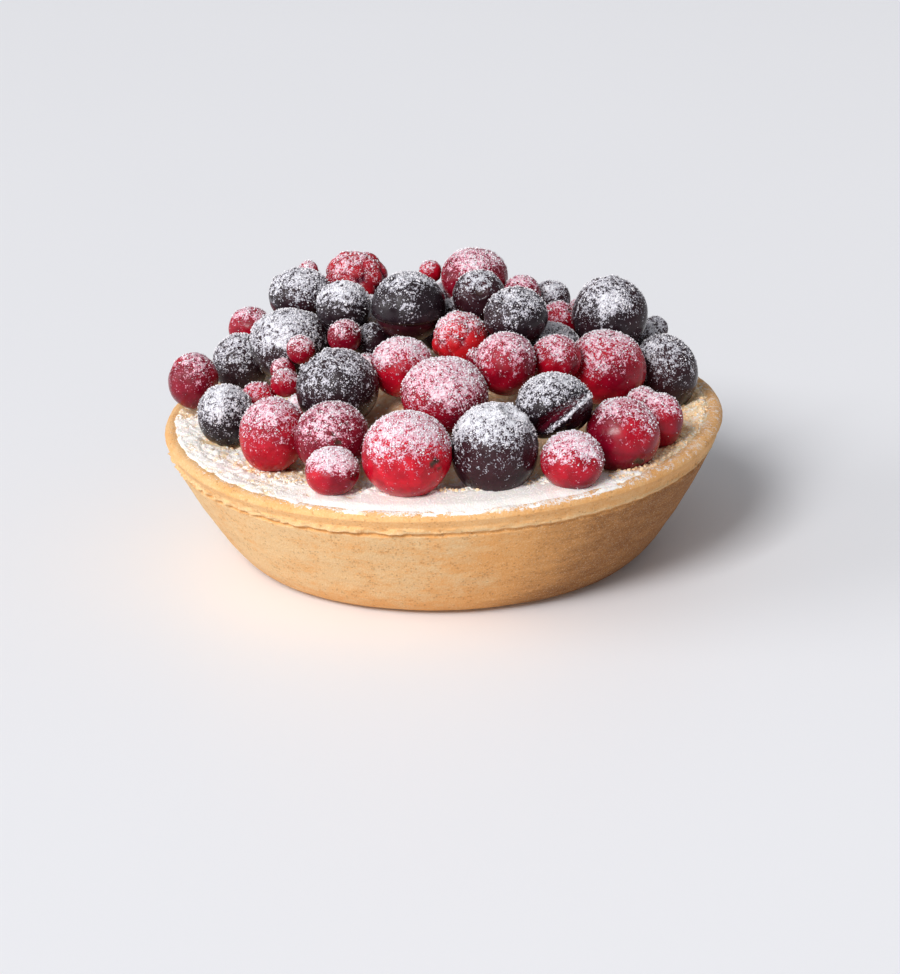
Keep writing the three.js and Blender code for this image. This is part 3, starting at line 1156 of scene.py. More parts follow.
@dataclass
class Heap:
    """All the berries, which hide each other from the sifted sugar.

    Fields:
        fall_spread: how far the falling sugar slants, as run over rise.
        falls: the slants that it comes down at, in spreads along x and y.
        sugar_depth: height of a full layer.
        sugar_glint_side: middle of the frosted patch that some berries have, partly sugar and partly painted
            highlight.
        sugar_glint_chance: share of the berries that have one.
        sugar_glint_amount: how much sugar lies on it.
        sugar_glint_width: how wide it is, as a fall from the middle.
        patches: how unevenly the sugar lies.
        clumps: how unevenly it rises, beside its usual rise.
    """

    berries: list[Berry]
    shells: list[Shell] = field(default_factory=list)
    fall_spread: float = 0.42
    falls: tuple[tuple[float, float], ...] = (
        (0.0, 0.0), (1.0, 0.0), (-1.0, 0.0), (0.0, 1.0), (0.0, -1.0), (-0.5, -0.7), (0.5, -0.7)
    )
    sugar_depth: float = 0.16 * MM
    sugar_glint_side: Triple = (-0.1, -0.8, 0.5)
    sugar_glint_chance: float = 0.55
    sugar_glint_amount: float = 0.32
    sugar_glint_width: float = 0.07
    patches: Ripple = Ripple(1.0, 3.6 * MM, 77)
    clumps: Ripple = Ripple(1.2, 1.1 * MM, 78, 2)

    @classmethod
    def from_frame(cls) -> "Heap":
        """Reads every berry's place and size from its node's box.

        Returns:
            The whole heap.
        """
        berries = []
        for row, node in enumerate(sorted(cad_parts)):
            kinds = [kind for kind in Kind if node.startswith(kind.label)]
            if not kinds:
                continue
            low, high = (np.array(corner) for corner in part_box(node))
            half = (high - low) / 2.0
            level = max(half[0], half[1]) * 1.01
            berries.append(Berry(node, kinds[0], (low + high) / 2.0, np.array([level, level, half[2]]), row))
        return cls(berries)

    def hidden(self, points: Array, direction: Array, skip: Berry | None = None) -> Array:
        """Which points other berries hide, looking from them along a direction.

        Args:
            points: places, one per row.
            direction: unit direction towards the falling sugar.
            skip: a berry that hides nothing.

        Returns:
            True for each hidden point.
        """
        blocked = np.zeros(len(points), dtype=bool)
        for berry in self.berries:
            if berry is skip:
                continue
            local = (points - berry.centre) / berry.half
            ray = direction / berry.half
            along = local @ ray
            gap = np.sum(local * local, axis=1) - 1.0
            blocked |= (along * along > (ray @ ray) * gap) & (along < 0.0)
        return blocked

    def openness(self, points: Array, skip: Berry | None = None) -> Array:
        """Share of the slanting sugar falls that reach each point.

        Args:
            points: places, one per row.
            skip: a berry that hides nothing.

        Returns:
            A share from 0 to 1 for each point.
        """
        total = np.zeros(len(points))
        for along_x, along_y in self.falls:
            direction = np.array([along_x * self.fall_spread, along_y * self.fall_spread, 1.0])
            direction /= np.linalg.norm(direction)
            total += ~self.hidden(points, direction, skip)
        return total / len(self.falls)

    def dust(self, berry: Berry, shell: Shell) -> None:
        """Works out how much sugar lies on each corner of a berry.

        Args:
            berry: the berry.
            shell: its mesh, which gets the sugar's mark and thickness.
        """
        outward = (shell.corners - berry.centre) / berry.half**2
        outward /= np.linalg.norm(outward, axis=1, keepdims=True)
        patchy = self.patches.at(shell.corners)
        rng = np.random.default_rng(berry.seed + 90)
        lowest = rng.uniform(-1.1, -0.7) if berry.kind.dark else rng.uniform(-0.5, -0.2)
        usual = (lowest, rng.uniform(1.1, 1.4), rng.uniform(0.78, 0.95))
        lowest, closed, amount = DUSTING.get(berry.node, usual)
        steep = outward[:, 2] + 0.42 * patchy
        fallen = smooth_step(lowest, closed, steep) * amount
        # A whitish patch on the side that faces the key light and the camera: partly sugar, partly painted
        # highlight.
        if rng.random() < self.sugar_glint_chance and berry.node not in WITHOUT_SUGAR_GLINT:
            middle = np.array(self.sugar_glint_side) + rng.normal(scale=0.22, size=3)
            away = 1.0 - outward @ (middle / np.linalg.norm(middle))
            sugar_glint = np.exp(-((away / self.sugar_glint_width) ** 2)) * (0.8 + 0.5 * patchy)
            fallen += self.sugar_glint_amount * sugar_glint
        if berry.kind is Kind.SPLIT:
            proud = np.linalg.norm((shell.corners - berry.centre) / berry.half, axis=1)
            fallen += 0.75 * smooth_step(1.05, 1.1, proud) * (outward[:, 1] < 0.0)
        open_share = self.openness(shell.corners, berry)
        shell.marks[SUGAR] = np.clip(fallen * open_share**0.8, 0.0, 1.0)
        relief = self.sugar_depth * (0.6 + self.clumps.at(shell.corners))
        shell.corners = shell.corners + outward * (relief * shell.marks[SUGAR])[:, None]
        shell.corners[:, 2] = np.minimum(shell.corners[:, 2], CAD_TOP - GRAIN_ROOM)

    def build(self) -> None:
        """Makes every berry, sugars it and puts it in its node's place."""
        made = {skin.name: skin.make() for skin in SKINS}
        for berry in self.berries:
            shell = berry.build()
            self.dust(berry, shell)
            self.shells.append(shell)
            piece = shell.to_object(f"{berry.node}_fruit", made[berry.kind.slot])
            hand_over(piece, (berry.node,))


# ---------------------------------------------------------------------------------------------
# Pastry and filling
# ---------------------------------------------------------------------------------------------


@dataclass
class Bake:
    """The crooked bake that crust and filling share: a leaning rim and an uneven outline."""

    rim_radius: float = 50.0 * MM
    rim_height: float = 24.0 * MM
    lean: float = 0.65 * MM
    out_of_round: float = 0.35 * MM

    def warp(self, corners: Array) -> Array:
        """Moves corners of the ideal tart to where the bake left them.

        Args:
            corners: places, one per row.

        Returns:
            The moved places.
        """
        x, y, z = corners.T
        angle = np.arctan2(y, x)
        uneven = self.out_of_round * (np.sin(3 * angle + 0.8) + 0.5 * np.sin(5 * angle))
        swell = 1.0 + uneven * z / (self.rim_height * self.rim_radius)
        rise = self.lean * (x / self.rim_radius) * (np.maximum(z, 0.0) / self.rim_height) ** 1.5
        return np.stack([x * swell, y * swell, z + rise], -1)


@dataclass
class Crust:
    """The pastry case: a bulging wall, a flaky seam and a smooth rolled rim.

    Fields:
        edge_rounding: radius of the base's edge.
        wall_curve: power of the wall's flare, less than 1 for a wall that bulges.
        wall_shares: where on its height the plain wall starts and ends.
        seam_step: height of the seam's ledge.
        seam_inset: how far the seam's foot lies inside its radius.
        seam_flare: how far the seam leans out over one step.
        seam_lip: how far the flaky lip stands out.
        rim_depth: height of the rounded top of the rim.
        rim_across: width of the rounded top of the rim.
        ledge_rise: height of the flaky ledge over the seam.
        crease: depth of the crease under the ledge.
        band_press: how far the rolled band is pressed in.
    """

    bake: Bake
    base_radius: float = 34.4 * MM
    seam_radius: float = 48.6 * MM
    seam_height: float = 19.5 * MM
    floor: float = 4.0 * MM
    edge_rounding: float = 1.8 * MM
    wall_curve: float = 0.7
    wall_shares: tuple[float, float] = (0.045, 0.975)
    seam_step: float = 0.9 * MM
    seam_inset: float = 0.12 * MM
    seam_flare: float = 0.1 * MM
    seam_lip: float = 0.95 * MM
    rim_depth: float = 1.4 * MM
    rim_across: float = 1.6 * MM
    ledge_rise: float = 0.62 * MM
    ledge_wave: Ripple = Ripple(0.14 * MM, 9.0 * MM, 4)
    ledge_nicks: Ripple = Ripple(0.16 * MM, 1.3 * MM, 5, 2)
    flakes: Ripple = Ripple(1.1, 1.3 * MM, 12, 2)
    crease: float = 0.26 * MM
    wall_swell: Ripple = Ripple(0.22 * MM, 9.0 * MM, 21)
    wall_sand: Ripple = Ripple(0.17 * MM, 2.4 * MM, 22)
    band_sand: Ripple = Ripple(0.09 * MM, 1.8 * MM, 23)
    band_press: float = 0.0675 * MM
    rim_dents: Ripple = Ripple(0.35 * MM, 6.0 * MM, 25)
    turns: int = 720

    def wall_radius(self, share: Array) -> Array:
        """The wall's radius at a share of the height of its seam."""
        return self.base_radius + (self.seam_radius - self.base_radius) * share**self.wall_curve

    def outline(self) -> Array:
        """Radius and height from the middle of the base, out, up the wall, over the rim and back.

        Returns:
            One point per row.
        """
        flat = self.base_radius - self.edge_rounding
        base = np.stack([np.linspace(0.0, 1.0, 12) * flat, np.zeros(12)], -1)
        rounding = np.full(2, self.edge_rounding)
        corner = arc(np.array([flat, self.edge_rounding]), rounding, -90.0, -38.0, 8)
        shares = np.linspace(*self.wall_shares, 62)
        wall = np.stack([self.wall_radius(shares), self.seam_height * shares], -1)
        foot = np.array([self.seam_radius - self.seam_inset, self.seam_height])
        seam = foot + np.linspace(-0.4, 1.0, 14)[:, None] * np.array([self.seam_flare, self.seam_step])
        top = self.bake.rim_height
        rim_radius = self.bake.rim_radius - 0.02 * MM
        low = np.array([self.seam_radius + 0.1 * MM, self.seam_height + 1.0 * MM])
        high = np.array([rim_radius, top - self.rim_depth])
        band = low + (high - low) * np.linspace(0.08, 1.0, 18)[:, None]
        rounded_top = np.array([self.rim_across, self.rim_depth])
        roll = arc(high - rounded_top * [1.0, 0.0], rounded_top, 0.0, 90.0, 16)
        inside = [
            (47.3 * MM, top - 0.1 * MM),
            (46.0 * MM, top - 0.5 * MM),
            (45.2 * MM, top - 1.4 * MM),
            (44.4 * MM, self.seam_height * 0.8),
            (self.base_radius + 1.0 * MM, self.floor + 2.0 * MM),
            (self.base_radius - 2.0 * MM, self.floor),
            (self.base_radius / 2.0, self.floor),
            (0.0, self.floor),
        ]
        return np.concatenate([base, corner, wall, seam, band, roll, inside])

    def build(self) -> None:
        """Makes the case and hands it over."""
        outline = self.outline()
        corners, baked_and_shaded, rolled_and_lit = self.work_surface(*revolved(outline, self.turns))
        corners = self.bake.warp(corners)
        marks = {BAKED_AND_SHADED: baked_and_shaded, ROLLED_AND_LIT: rolled_and_lit, SUGAR: self.rim_dust(corners)}
        shell = Shell(corners, revolved_faces(len(outline), self.turns), marks)
        piece = merged(shell.to_object("pastry_case", BakedPastry().make()))
        hand_over(piece, ("crust",))

    def work_surface(self, corners: Array, outward: Array) -> tuple[Array, Array, Array]:
        """Roughens the outside and says how brown each corner is, with painted shade on the right-hand side
        and in the crease under the ledge, and painted light on the left.

        Args:
            corners: the ideal shape's corners.
            outward: level unit directions away from the axis.

        Returns:
            The worked corners, the browning with its painted shade and light, and how much of the smooth
            band's colour each corner gets, from 0 to 1, raised at the far right as painted light.
        """
        level = np.hypot(corners[:, 0], corners[:, 1])
        height = corners[:, 2]
        seam, rim = self.seam_height, self.bake.rim_height
        plain_wall = self.wall_radius(np.clip(height / seam, 0.0, 1.0))
        outside = smooth_step(0.97, 1.0, level / plain_wall) * smooth_step(0.1 * MM, 1.2 * MM, height)
        wall = outside * smooth_step(seam + 0.4 * MM, seam - 0.6 * MM, height)
        band = outside * smooth_step(seam + 0.4 * MM, seam + 1.2 * MM, height)
        left = smooth_step(0.35, -0.5, outward[:, 0])
        around = outward * 60.0 * MM
        ledge = seam + self.ledge_rise + self.ledge_wave.at(around) + self.ledge_nicks.at(around)
        flake = np.clip(0.6 + self.flakes.at(corners * [1.0, 1.0, 1.6] + 7.0), 0.0, 1.15)
        lip = (1.0 - left) * (0.22 + 0.26 * flake) + left * flake
        over = height - ledge
        near_seam = smooth_step(-0.32 * MM, -0.02 * MM, over) * outside
        near_seam *= smooth_step(1.15 * MM, 0.1 * MM, over)
        under = np.exp(-(((over + 0.5 * MM) / (0.33 * MM)) ** 2)) * outside
        push = (self.wall_swell.at(corners) + self.wall_sand.at(corners * [0.6, 0.6, 1.0])) * wall
        push += self.seam_lip * near_seam * lip - self.crease * under * (0.45 + 0.55 * left)
        push += (self.band_sand.at(corners * [1.0, 1.0, 0.25]) - self.band_press) * band
        worked = corners + outward * push[:, None]
        worked[:, 2] += np.minimum(self.rim_dents.at(around), 0.0) * smooth_step(rim - 2.0 * MM, rim, height)
        top_edge = smooth_step(rim - 2.4 * MM, rim - 0.6 * MM, height)
        # The crease under the ledge is painted browner: painted shade.
        browning_and_shade = 0.1 + 0.16 * band + 0.55 * under - 0.3 * near_seam * (0.4 + 0.6 * lip)
        # Darker towards the base and on the lower wall.
        browning_and_shade += 0.28 * smooth_step(5.0 * MM, 0.4 * MM, height)
        browning_and_shade += 0.07 * smooth_step(13.0 * MM, 3.0 * MM, height)
        # Browner on the right-hand wall and a little paler on the left: painted shade on the right and
        # painted light on the left, where the lamps are.
        browning_and_shade += 0.92 * smooth_step(-0.15, 0.8, outward[:, 0]) * (wall + 0.14 * band)
        browning_and_shade += 0.04 * top_edge * band
        browning_and_shade -= 0.1 * smooth_step(0.0, -1.0, outward[:, 0]) * (wall + band)
        right, far_right = smooth_step(-0.1, 0.6, outward[:, 0]), smooth_step(0.72, 0.95, outward[:, 0])
        rolled_and_lit = band * (1.0 - np.maximum(near_seam, under))
        # The rolled colour fades on the right and on the left and comes back at the far right, where it is
        # painted light.
        rolled_and_lit *= 0.9 - 0.5 * right + 0.6 * far_right
        rolled_and_lit *= 1.0 - 0.65 * smooth_step(-0.35, -0.8, outward[:, 0])
        return worked, np.clip(browning_and_shade, 0.0, 1.0), rolled_and_lit

    def rim_dust(self, corners: Array) -> Array:
        """Sugar on the top of the rim and a few specks down its band.

        Args:
            corners: the finished corners of the case.

        Returns:
            The amount at each corner, from 0 to 1.
        """
        over_rim = corners[:, 2] - self.bake.rim_height
        above = smooth_step(-1.1 * MM, 0.1 * MM, over_rim)
        fleck = smooth_step(-5.5 * MM, -1.0 * MM, over_rim)
        bare = smooth_step(0.1, 0.8, corners[:, 0] / self.bake.rim_radius)
        return above * (0.7 - 0.3 * bare) + 0.04 * fleck


@dataclass
class Filling:
    """The crumb bed that shows round the edge and between the berries.

    Fields:
        edge: radius of the outermost crumbs.
        edge_height: height of the bed where it meets the rim.
        bed_height: height of the level bed under the heap.
        ring_start: radius from which the bed climbs.
        ring_end: radius at which it has climbed to the rim.
        dome_shift: how far back the dome's middle lies.
        side_reach: how far out the crumbs lie at the sides.
        front_reach: how far out the drift of sugar lies in front.
        crest: height of the sugar drift over the rim.
        crumb_rise: how far crumbs stand out of the bed.
        lump_rise: how far lumps stand out of the bed.
        fine_start: radius from which the rings lie closer together.
        skirt_height: height of the hidden edge, inside the case.
        thickening: the amounts of sugar between which it closes to a smooth drift.
    """

    bake: Bake
    heap: Heap
    edge: float = 49.5 * MM
    edge_height: float = 24.0 * MM
    bed_height: float = 21.7 * MM
    ring_start: float = 34.0 * MM
    ring_end: float = 47.0 * MM
    dome_rise: float = 9.5 * MM
    dome_radius: float = 34.0 * MM
    dome_falloff: float = 1.3
    dome_shift: float = 4.0 * MM
    side_reach: float = 49.2 * MM
    front_reach: float = 50.1 * MM
    front_rag: Ripple = Ripple(9.0, 5.0 * MM, 33, 1)
    drift_rag: Ripple = Ripple(1.6 * MM, 2.5 * MM, 34)
    patches: Ripple = Ripple(0.5, 3.0 * MM, 31)
    edge_rag: Ripple = Ripple(0.35 * MM, 1.8 * MM, 43)
    crest: float = 0.35 * MM
    crest_wave: Ripple = Ripple(0.1 * MM, 3.0 * MM, 44)
    crumb_grain: Ripple = Ripple(1.0, 1.6 * MM, 41, 2)
    lump_sizes: tuple[Ripple, Ripple] = (Ripple(0.45, 2.6 * MM, 42, 1), Ripple(0.7, 1.25 * MM, 45, 1))
    crumb_rise: float = 0.4 * MM
    lump_rise: float = 0.6 * MM
    fine_start: float = 30.0 * MM
    skirt_height: float = 17.0 * MM
    underside: float = 4.6 * MM
    thickening: tuple[float, float] = (1.1, 1.4)
    turns: int = 740
    shell: Shell | None = None

    def height(self, x: Array, y: Array) -> Array:
        """The smooth surface: a level bed that climbs to the rim, with an off-centre dome.

        Args:
            x: places across.
            y: places towards the back.

        Returns:
            The height at each place.
        """
        level = np.hypot(x, y)
        share = np.hypot(x, y - self.dome_shift) / self.dome_radius
        dome = self.dome_rise * np.maximum(0.0, 1.0 - share**2) ** self.dome_falloff
        climb = np.clip((level - self.ring_start) / (self.ring_end - self.ring_start), 0.0, 1.0)
        return self.bed_height + (self.edge_height - self.bed_height) * climb + dome

    def reach(self, x: Array, y: Array) -> Array:
        """How far out the crumbs and the sugar lie: over the rim in front, less far on the right.

        Args:
            x: places across.
            y: places towards the back.

        Returns:
            A radius for each place.
        """
        right = smooth_step(0.35, 0.95, x / np.maximum(np.hypot(x, y), MM))
        back = smooth_step(0.0, 0.6, y / np.maximum(np.hypot(x, y), MM))
        plain = self.side_reach - 1.1 * MM * right - 0.4 * MM * back
        return plain + (self.front_reach - plain) * self.front_share(x, y)

    def front_share(self, x: Array, y: Array) -> Array:
        """How much a place belongs to the thick drift of sugar along the front.

        Args:
            x: places across.
            y: places towards the back.

        Returns:
            A share from 0 to 1 for each place.
        """
        angle = np.degrees(np.arctan2(x, -y))
        ragged = self.front_rag.at(np.stack([x, y, np.zeros_like(x)], -1))
        return smooth_step(50.0, 26.0, np.abs(angle - 4.0) + ragged)

    def sugar_amount(self, x: Array, y: Array) -> Array:
        """Sugar lies thick along the front edge, in patches at the left and thinly at the right.

        Args:
            x: places across.
            y: places towards the back.

        Returns:
            The amount at each place, 1 for a full layer and more for a drift.
        """
        places = np.stack([x, y, np.zeros_like(x)], -1)
        angle = np.degrees(np.arctan2(x, -y))
        level = np.hypot(x, y)
        ragged = self.drift_rag.at(places)
        drift = self.front_share(x, y) * smooth_step(35.5 * MM, 38.5 * MM, level + ragged)
        drift *= smooth_step(50.2 * MM, 48.6 * MM, level + 0.4 * ragged)
        patches = 0.86 + self.patches.at(places)
        right = smooth_step(25.0, 75.0, angle) * smooth_step(175.0, 120.0, angle)
        amount = patches * (1.0 - 0.62 * right) * (0.45 + 0.55 * smooth_step(24.0 * MM, 33.0 * MM, level))
        streak = smooth_step(2.6 * MM, 0.6 * MM, np.abs(level - 45.4 * MM + ragged)) * right
        amount = np.clip(amount + 0.1 * streak, 0.0, 1.1)
        return np.maximum(amount, 1.5 * drift)

    def crumbly_top(self, places: Array, sugar: Array) -> tuple[Array, Array]:
        """Lays crumbs on the smooth surface, banks the front drift and lets the edge fall raggedly.

        Args:
            places: the corners, at level 0.
            sugar: the amount of sugar at each.

        Returns:
            The height of each corner, and the roughness of its crumbs.
        """
        x, y = places[:, 0], places[:, 1]
        level = np.hypot(x, y)
        crumbs = self.crumb_grain.at(places)
        lumps = sum(np.abs(lump.at(places)) for lump in self.lump_sizes)
        thick = smooth_step(*self.thickening, sugar)
        bare = 1.0 - 0.85 * thick
        past = level + self.edge_rag.at(places) - self.reach(x, y)
        crest = self.bake.rim_height + 0.08 * MM + self.crest * thick
        rim_fall = (1.3 - 0.45 * thick) * MM * smooth_step(-1.6 * MM - 3.2 * MM * thick, 0.5 * MM, past)
        mound = crest - rim_fall + self.crest_wave.at(places)
        mound += 0.24 * MM * (crumbs + 0.4 * lumps) * bare * smooth_step(0.2 * MM, -1.5 * MM, past)
        top = self.height(x, y) + self.crumb_rise * crumbs * bare
        top += self.lump_rise * lumps * (1.0 - 0.7 * thick)
        banked = self.front_share(x, y) * smooth_step(34.5 * MM, 40.0 * MM, level + 0.5 * MM * crumbs)
        inner_lumps = 0.5 * MM * (crumbs + 0.5 * lumps) * smooth_step(43.5 * MM, 40.0 * MM, level)
        top += np.maximum(crest - 0.1 * MM + inner_lumps - top, 0.0) * banked
        top += (mound - top) * smooth_step(44.5 * MM, 47.2 * MM, level)
        return top, crumbs

    def build(self) -> None:
        """Makes the filling with its crumbs, sugar and stains."""
        inner = np.linspace(0.0, self.fine_start, 46)[:-1]
        radii = np.concatenate([inner, np.linspace(self.fine_start, self.edge, 84)])
        places, _ = revolved(np.stack([radii, np.zeros_like(radii)], -1), self.turns)
        x, y = places[:, 0], places[:, 1]
        sugar = self.sugar_amount(x, y)
        thick = smooth_step(*self.thickening, sugar)
        top, crumbs = self.crumbly_top(places, sugar)
        surface = self.bake.warp(np.stack([x, y, top], -1))
        juice_and_shade = self.juice_and_shade(surface)
        open_share = self.heap.openness(surface + np.array([0.0, 0.0, 0.3 * MM]))
        sifted = 0.85 * self.front_share(x, y) * smooth_step(26.0 * MM, 31.0 * MM, np.hypot(x, y))
        fallen = np.maximum(open_share**0.8, np.maximum(thick, sifted))
        sugar = (sugar + 0.35 * crumbs * (1.0 - thick)) * fallen * (1.0 - 0.5 * juice_and_shade * (1.0 - thick))
        skirt, sole, middle = (
            places[-self.turns:] * [share, share, 0.0] + [0.0, 0.0, height]
            for share, height in ((0.93, self.skirt_height), (0.66, self.underside), (0.0, self.underside))
        )
        corners = np.concatenate([surface, self.bake.warp(skirt), sole, middle])
        spare = np.zeros(3 * self.turns)
        marks = {
            SUGAR: np.concatenate([np.clip(sugar, 0.0, 1.5), spare]),
            JUICE_AND_SHADE: np.concatenate([juice_and_shade, spare]),
        }
        self.shell = Shell(corners, revolved_faces(len(radii) + 3, self.turns)[:, ::-1], marks)
        piece = merged(self.shell.to_object("almond_filling", CrumbBed().make()))
        hand_over(piece, ("filling",))

    def juice_and_shade(self, surface: Array) -> Array:
        """Red stain where red berries lie close to the crumb, and painted shade in the middle, under the
        heap.

        Args:
            surface: the bed's corners.

        Returns:
            The strength of the stain and of the painted shade at each corner, from 0 to 1.
        """
        stain = np.zeros(len(surface))
        for berry in self.heap.berries:
            if berry.kind.dark:
                continue
            away = np.linalg.norm((surface - berry.centre) / berry.half, axis=1)
            stain = np.maximum(stain, smooth_step(1.22, 1.04, away))
        stain *= smooth_step(-0.8, 0.4, value_noise(surface, 2.5 * MM, 51))
        stain *= 1.0 - 0.7 * self.front_share(surface[:, 0], surface[:, 1])
        level = np.hypot(surface[:, 0], surface[:, 1])
        # Red-brown in the middle under the heap: painted shade between the berries.
        return np.maximum(stain, 0.3 * smooth_step(30.0 * MM, 23.0 * MM, level))


# ---------------------------------------------------------------------------------------------
# Scattered grains
# ---------------------------------------------------------------------------------------------


@dataclass(frozen=True)
class Scatter:
    """Grains of one kind, strewn over a surface and realized as one mesh.

    Fields:
        name: the piece's name.
        slot: the name of a material slot; not used.
        count: how many grains, about.
        size: radius of a middling grain.
        spread: how far the sizes vary, as a share of the size.
        facets: subdivisions of the ball that each grain starts as, 0 for an eight-sided grain.
        ragged: how far each grain's corners stray, as a share of the size.
        lift: how far grains stand off the surface, as a share of the size.
        seed: picks one pattern.
        stray_scale: how fast the straying changes, in hills for each grain's radius.
    """

    name: str
    slot: str
    count: int
    size: float
    spread: float
    facets: int
    ragged: float
    lift: float
    seed: int
    stray_scale: float = 1.1

    def strew(self, ground: Shell, share: Array, material: bpy.types.Material) -> bpy.types.Object:
        """Strews the grains.

        Args:
            ground: the surface.
            share: how thickly each of its corners is strewn, beside the others.
            material: the grains' finish.

        Returns:
            The grains as one plain mesh.
        """
        bed = Shell(ground.corners, ground.faces, {"share": share}).to_object(self.name + "_bed")
        density = self.count / max(self.weighted_area(ground, share), 1e-9)
        tree, keys = self.tree(material)
        modifier = bed.modifiers.new("strew", "NODES")
        modifier.node_group = tree
        settings = {
            "Density": density,
            "Smallest": self.size * (1.0 - self.spread),
            "Largest": self.size * (1.0 + self.spread),
            "Ragged": self.size * self.ragged,
            "Lift": self.size * self.lift,
            "Seed": self.seed,
        }
        for key, value in settings.items():
            modifier[keys[key]] = value
        evaluated = bed.evaluated_get(bpy.context.evaluated_depsgraph_get())
        mesh = bpy.data.meshes.new_from_object(evaluated)
        bed.modifiers.remove(modifier)
        bpy.data.objects.remove(bed, do_unlink=True)
        mesh.name = self.name
        mesh.materials.clear()
        mesh.materials.append(material)
        return linked(self.name, mesh)

    @staticmethod
    def weighted_area(ground: Shell, share: Array) -> float:
        """The strewn area, each face counted by its share.

        Args:
            ground: the surface.
            share: the share at each of its corners.

        Returns:
            The area in square metres.
        """
        corners = ground.corners[ground.faces]
        from_first = corners[:, 1:] - corners[:, :1]
        halves = np.cross(from_first[:, :-1], from_first[:, 1:])
        area = np.sum(np.linalg.norm(halves, axis=2), axis=1) / 2.0
        return float(np.sum(area * share[ground.faces].mean(axis=1)))

    def tree(self, material: bpy.types.Material) -> tuple[bpy.types.GeometryNodeTree, dict[str, str]]:
        """Makes the node tree that strews grains on a mesh.

        Args:
            material: the grains' finish.

        Returns:
            The tree, and the identifier of each named input.
        """
        tree = bpy.data.node_groups.new(self.name + "_strew", "GeometryNodeTree")
        keys = {}
        for label in ("Geometry", "Density", "Smallest", "Largest", "Ragged", "Lift", "Seed"):
            kind = {"Geometry": "NodeSocketGeometry", "Seed": "NodeSocketInt"}.get(label, "NodeSocketFloat")
            keys[label] = tree.interface.new_socket(label, in_out="INPUT", socket_type=kind).identifier
        tree.interface.new_socket("Geometry", in_out="OUTPUT", socket_type="NodeSocketGeometry")
        add = NodeBench(tree).add
        given = add("NodeGroupInput").outputs
        seed = given["Seed"]
        share = add("GeometryNodeInputNamedAttribute", data_type="FLOAT", Name="share").outputs["Attribute"]
        density = add("ShaderNodeMath", share, given["Density"], operation="MULTIPLY").outputs[0]
        ground = {"Mesh": given["Geometry"], "Density": density}
        spots = add("GeometryNodeDistributePointsOnFaces", Seed=seed, **ground).outputs
        rise = add("ShaderNodeVectorMath", spots["Normal"], operation="SCALE", Scale=given["Lift"]).outputs[0]
        lifted = add("GeometryNodeSetPosition", Geometry=spots["Points"], Offset=rise).outputs["Geometry"]
        if self.facets:
            grain = add("GeometryNodeMeshIcoSphere", Subdivisions=self.facets, Radius=1.0)
        else:
            grain = add("GeometryNodeMeshUVSphere", Segments=4, Rings=2, Radius=1.0)
        limits = {
            "Rotation": ((0.0, 0.0, 0.0), (math.tau, math.tau, math.tau)),
            "Scale": (given["Smallest"], given["Largest"]),
        }
        varied = {
            name: add("FunctionNodeRandomValue", *pair, data_type="FLOAT_VECTOR", Seed=seed).outputs["Value"]
            for name, pair in limits.items()
        }
        grain = grain.outputs["Mesh"]
        placed = add("GeometryNodeInstanceOnPoints", Points=lifted, Instance=grain, **varied)
        real = add("GeometryNodeRealizeInstances", Geometry=placed.outputs["Instances"]).outputs["Geometry"]
        stray = add("ShaderNodeTexNoise", Scale=self.stray_scale / self.size, Detail=1.0).outputs["Color"]
        centred = add("ShaderNodeVectorMath", stray, (0.5, 0.5, 0.5), operation="SUBTRACT").outputs[0]
        strayed = add("ShaderNodeVectorMath", centred, operation="SCALE", Scale=given["Ragged"]).outputs[0]
        moved = add("GeometryNodeSetPosition", Geometry=real, Offset=strayed).outputs["Geometry"]
        smooth = add("GeometryNodeSetShadeSmooth", Geometry=moved).outputs["Geometry"]
        dressed = add("GeometryNodeSetMaterial", Geometry=smooth, Material=material).outputs["Geometry"]
        add("NodeGroupOutput", Geometry=dressed)
        return tree, keys


